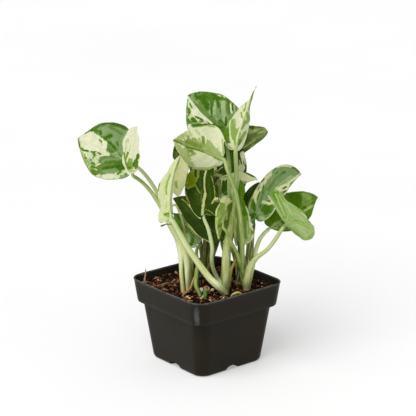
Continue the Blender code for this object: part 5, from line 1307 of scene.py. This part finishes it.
def pot_look():
    """Warm black satin plastic, faintly grained, scuffed paler along the rim, dusty with soil near it, and with a pale
    painted highlight down the front corner of its band.
    """
    n = Nodes("pot_look", 0.46)
    place = n.node("ShaderNodeTexCoord").outputs["Object"]
    parts = n.node("ShaderNodeSeparateXYZ", {0: place})
    cloud = n.noise(place, 26.0, 4.0, 0.6)
    speck = n.noise(place, 900.0, 2.0, 0.5)
    scratch = n.noise(n.stretched(place, (90.0, 90.0, 900.0)), 1.0, 3.0, 0.7)
    colour = n.ramp(cloud, [(0.3, linear(26, 22, 13)), (0.7, linear(33, 28, 19))])
    height = parts.outputs[2]
    rim = n.smooth_range(height, 0.0742, 0.0757)
    worn = n.math("MULTIPLY", rim, n.smooth_range(n.noise(place, 160.0, 3.0, 0.7), 0.38, 0.62, 0.35, 1.0))
    colour = n.mix(n.math("MULTIPLY", worn, 0.8), colour, linear(96, 93, 88))
    dust = n.math("MULTIPLY", n.smooth_range(speck, 0.66, 0.74), 0.25)
    colour = n.mix(dust, colour, linear(80, 73, 64))
    # Painted highlight: a pale bluish streak down the front corner of the band, ragged with noise
    away = n.node("ShaderNodeVectorMath", {0: n.stretched(place, (1.0, 1.0, 0.16)), 1: HIGHLIGHT_PLACE}, operation="DISTANCE")
    painted_highlight = n.noise(n.stretched(place, (900.0, 900.0, 90.0)), 1.0, 3.0, 0.7)
    painted_highlight = n.math("MULTIPLY", n.smooth_range(away.outputs["Value"], 0.0010, 0.0034, 0.6, 0.0), n.smooth_range(painted_highlight, 0.30, 0.62))
    colour = n.mix(painted_highlight, colour, linear(98, 104, 110))
    n.link("Base Color", colour)
    n.shader.inputs["Specular IOR Level"].default_value = POT_SHINE
    n.link("Roughness", n.smooth_range(cloud, 0.3, 0.7, 0.40, 0.52))
    height_map = n.math("MULTIPLY_ADD", scratch, 0.5, n.math("MULTIPLY", speck, 0.5))
    n.link("Normal", n.bump(height_map, 0.00008, 0.7))
    return n.material


def rough(x, y, size):
    """Uneven height at a place, from several sizes of bumps."""
    total = 0.0
    for k in range(4):
        total += noise.noise(Vector((x / size * 2**k, y / size * 2**k, 3.7 * k))) / 1.7**k
    return total


def soil_height(x, y):
    """Surface of the soil: gentle waves with clumps on them, level where it meets the pot."""
    ripple = math.sin(x * SOIL_RIPPLE[0] + 0.4) * math.cos(y * SOIL_RIPPLE[1] - 0.8)
    swell = SOIL_SWELL[0] * math.sin(x * SOIL_SWELL[1] + y * SOIL_SWELL[2] + 2.0)
    return SOIL_TOP - SOIL_DIP + SOIL_DIP * SOIL_ROUGHNESS * (ripple + swell) + CLUMPS * rough(x, y, 9.0)


def soil():
    levels = [FLOOR + CLEARANCE, POT_HEIGHT - BAND_HEIGHT - 1.0, POT_HEIGHT - BAND_HEIGHT + 1.0, SOIL_TOP - 0.8]
    rings = [square_ring(inner_half(z) - CLEARANCE, corner_at(z) - WALL - CLEARANCE, z) for z in levels]
    top = rings[-1]
    for share in np.linspace(0.985, 0.02, 60):
        rings.append([(x * share, y * share, soil_height(x * share, y * share)) for x, y, _ in top])
    mesh = solid("soil", *skin(rings, (0.0, 0.0, soil_height(0.0, 0.0))))
    for quarter in range(4):
        mesh = boolean(mesh, tunnel(quarter, WALL + CLEARANCE, FLOOR / 2, BASE_HALF + BEYOND_WALL), "DIFFERENCE")
    mesh.shade_smooth()
    mesh.set_sharp_from_angle(angle=math.radians(60))
    dress("soil_fine", mesh, soil_look(), "soil", "soil")
    crumbs()


def soil_look():
    """Dark damp potting mix."""
    n = Nodes("soil_look", 0.93)
    n.shader.inputs["Specular IOR Level"].default_value = SOIL_SHINE
    place = n.node("ShaderNodeTexCoord").outputs["Object"]
    grain = n.noise(place, 420.0, 5.0, 0.7)
    clump = n.noise(place, 110.0, 3.0, 0.6)
    shade = n.math("MULTIPLY_ADD", grain, 0.6, n.math("MULTIPLY", clump, 0.5))
    stops = [(0.40, CRUMBS[0]), (0.54, CRUMBS[1]), (0.64, CRUMBS[2]), (0.74, CRUMBS[3])]
    n.link("Base Color", n.ramp(shade, stops))
    n.link("Normal", n.bump(grain, 0.0008, 0.9))
    return n.material


def crumb_look(name, roughness=0.9):
    n = Nodes(name, roughness)
    n.shader.inputs["Specular IOR Level"].default_value = SOIL_SHINE
    tint = n.attribute("tint").outputs["Color"]
    place = n.node("ShaderNodeTexCoord").outputs["Object"]
    grain = n.noise(place, 900.0, 3.0, 0.6)
    n.link("Base Color", n.mix(1.0, tint, n.ramp(grain, [(0.3, (0.62, 0.6, 0.58)), (0.7, (1.25, 1.22, 1.18))]), "MULTIPLY"))
    n.link("Normal", n.bump(grain, 0.0003, 0.8))
    return n.material


def round_lump(detail):
    """Points and faces of a ball of triangles."""
    t = (1 + 5**0.5) / 2
    p = [(-1, t, 0), (1, t, 0), (-1, -t, 0), (1, -t, 0), (0, -1, t), (0, 1, t), (0, -1, -t), (0, 1, -t),
         (t, 0, -1), (t, 0, 1), (-t, 0, -1), (-t, 0, 1)]
    f = [(0, 11, 5), (0, 5, 1), (0, 1, 7), (0, 7, 10), (0, 10, 11), (1, 5, 9), (5, 11, 4), (11, 10, 2), (10, 7, 6),
         (7, 1, 8), (3, 9, 4), (3, 4, 2), (3, 2, 6), (3, 6, 8), (3, 8, 9), (4, 9, 5), (2, 4, 11), (6, 2, 10),
         (8, 6, 7), (9, 8, 1)]
    p = [np.array(q) / np.linalg.norm(q) for q in p]
    for _ in range(detail):
        middles, new = {}, []
        for tri in f:
            ids = []
            for i, j in ((0, 1), (1, 2), (2, 0)):
                key = tuple(sorted((tri[i], tri[j])))
                if key not in middles:
                    q = p[key[0]] + p[key[1]]
                    middles[key] = len(p)
                    p.append(q / np.linalg.norm(q))
                ids.append(middles[key])
            new += [(tri[0], ids[0], ids[2]), (tri[1], ids[1], ids[0]), (tri[2], ids[2], ids[1]), tuple(ids)]
        f = new
    return np.array(p), [list(x) for x in f]


def lump(rng, ball, spot, size, jitter, tilt, colour):
    """One crumb: a jittered ball stretched, turned and set down."""
    p, f = ball
    shape = p * (1 + rng.uniform(-jitter, jitter, (len(p), 1))) * np.array(size)
    turn = np.array(Euler((rng.uniform(-tilt, tilt), rng.uniform(-tilt, tilt), rng.uniform(0, 6.28))).to_matrix())
    return shape @ turn.T + spot, f, np.tile([*colour, 1.0], (len(p), 1))


def crumbs():
    """Bark chips, fibres and crumbs over the soil, clear of the stems, with white and other bits where they show."""
    rng = np.random.default_rng(11)
    small, large = round_lump(0), round_lump(1)
    feet = []
    for group in STEMS.values():
        for points in group.values():
            u, v, depth, radius = points[0]
            if depth is None:
                feet.append((*pot_frame(seen(u, v))[:2], radius + 0.4))
    reach = inner_half(SOIL_TOP) - 1.6
    parts = []
    for kind, count in (("bark", 560), ("crumb", 3000), ("fibre", 380)):
        for _ in range(count):
            x, y = rng.uniform(-reach, reach, 2)
            corner = max(abs(x), abs(y)) > reach - 4 and min(abs(x), abs(y)) > reach - 9
            pick = rng.uniform()
            if corner or any((x - fx) ** 2 + (y - fy) ** 2 < (fr + 0.6) ** 2 for fx, fy, fr in feet):
                continue
            z = soil_height(x, y)
            if kind == "bark":
                long = rng.uniform(1.2, 2.9)
                size = (long, long * rng.uniform(0.35, 0.7), long * rng.uniform(0.18, 0.4))
                colour = CRUMBS[2 + int(pick**1.3 * 3.99)]
                parts.append(lump(rng, large, (x, y, z + 0.4), size, 0.2, 0.6, colour))
            elif kind == "crumb":
                size = rng.uniform(0.35, 1.0) * rng.uniform(0.6, 1.2, 3)
                colour = CRUMBS[int(pick**1.1 * 4.99)]
                parts.append(lump(rng, small, (x, y, z + 0.25), size, 0.25, 3.0, colour))
            else:
                size = (rng.uniform(2.0, 4.5), rng.uniform(0.18, 0.4), rng.uniform(0.18, 0.35))
                colour = CRUMBS[1 + int(pick**1.2 * 4.5)]
                parts.append(lump(rng, small, (x, y, z + 0.7), size, 0.15, 0.35, colour))
    p, f, (tint,) = joined(parts)
    mesh = mesh_of("bark", p, f, smooth_shaded=False)
    give(mesh, "tint", tint)
    dress("bark_crumbs", mesh, crumb_look("crumb_look"), "soil")
    parts = []
    for u, v, size, colour in BITS:
        spot = pot_frame(seen(u, v + 0.45 * size)) + np.array([0, 0, size * 0.7])
        parts.append(lump(rng, round_lump(2), spot, (size, size * 0.85, size * 0.75), 0.08, 3.0, linear(*colour)))
    for _ in range(26):
        x, y = rng.uniform(-reach + 3, reach - 3, 2)
        size = rng.uniform(0.4, 0.9)
        parts.append(lump(rng, large, (x, y, soil_height(x, y) + 0.5), (size, size * 0.8, size * 0.7), 0.15, 3.0,
                          linear(214, 208, 196)))
    p, f, (tint,) = joined(parts)
    mesh = mesh_of("perlite", p, f)
    give(mesh, "tint", tint)
    dress("perlite_bits", mesh, crumb_look("perlite_look", 0.8), "soil")


def twigs():
    """Dry twigs and thin roots that lie on the soil and at the rim, and a shred on a torn stalk."""
    parts = []
    for tints, line in TWIGS:
        path = [(*seen(u, v, depth), radius) for u, v, depth, radius in line]
        path = smooth(path, 10 * len(path))
        path[:, :3] = pot_frame(path[:, :3])
        p, f, s, theta, lit_facing = tube(path, 9, 0.2)
        parts.append((p, f, tinted(s, tints), np.stack([2 * np.cos(theta), 2 * np.sin(theta), s], 1), lit_facing))
    p, f, (tint, grain, lit_facing) = joined(parts)
    mesh = mesh_of("twigs", p, f)
    give(mesh, "tint", tint)
    give(mesh, "grain", grain)
    give(mesh, "lit_facing", lit_facing)
    dress("dry_twigs", mesh, stem_look("twig_look", 0.85), "dry_root")


def panel(name, spot, target, side, watts):
    light = bpy.data.lights.new(name, "AREA")
    light.shape = "SQUARE"
    light.size = side
    light.energy = watts
    thing = bpy.data.objects.new(name, light)
    bpy.context.scene.collection.objects.link(thing)
    thing.location = Vector(pot_frame(spot) * MM)
    thing.rotation_euler = (Vector(target) * MM - thing.location).to_track_quat("-Z", "Y").to_euler()


def studio():
    """Pale floor, white surroundings, soft panels and the camera at the view."""
    scene = bpy.context.scene
    world = scene.world or bpy.data.worlds.new("World")
    scene.world = world
    world.use_nodes = True
    sky = world.node_tree.nodes["Background"]
    sky.inputs["Color"].default_value = (1.0, 1.0, 1.0, 1.0)
    sky.inputs["Strength"].default_value = SKY
    mesh = mesh_of("floor", [(-9000, -9000, -0.2), (9000, -9000, -0.2), (9000, 9000, -0.2), (-9000, 9000, -0.2)], [[0, 1, 2, 3]])
    n = Nodes("floor_look", 0.9)
    grain = n.noise(n.node("ShaderNodeTexCoord").outputs["Object"], 3.0, 2.0, 0.5)
    n.link("Base Color", n.ramp(grain, [(0.3, (0.6, 0.6, 0.6)), (0.7, (0.62, 0.62, 0.62))]))
    n.shader.inputs["Emission Color"].default_value = (1.0, 1.0, 1.0, 1.0)
    n.shader.inputs["Emission Strength"].default_value = FLOOR_GLOW
    n.shader.inputs["Specular IOR Level"].default_value = 0.1
    mesh.materials.append(n.material)
    floor = bpy.data.objects.new("floor", mesh)
    scene.collection.objects.link(floor)
    for name, spot, side, watts in PANELS:
        panel(name, np.array(spot), (0, 0, 130), side, watts)
    lamp = bpy.data.lights.new("soft_key", "SUN")
    lamp.energy = SUN
    lamp.angle = math.radians(SUN_SPREAD)
    key = bpy.data.objects.new("soft_key", lamp)
    scene.collection.objects.link(key)
    key.rotation_euler = (math.radians(90 - SUN_HEIGHT), 0.0, VIEW_TURN + math.radians(SUN_TURN))
    lens = bpy.data.cameras.new("view")
    lens.sensor_width = SENSOR
    lens.lens = VIEW_FOCAL * SENSOR / IMAGE_SIDE
    lens.clip_end = 20.0
    eye = bpy.data.objects.new("view", lens)
    scene.collection.objects.link(eye)
    eye.location = Vector(pot_frame(VIEW_EYE) * MM)
    eye.rotation_euler = (math.pi / 2 - VIEW_DROP, 0.0, VIEW_TURN)
    scene.camera = eye
    scene.view_settings.view_transform = "Standard"
    scene.view_settings.look = "None"


def build():
    pot()
    soil()
    twigs()
    blades = leaves()
    stems(blades)
    studio()


build()
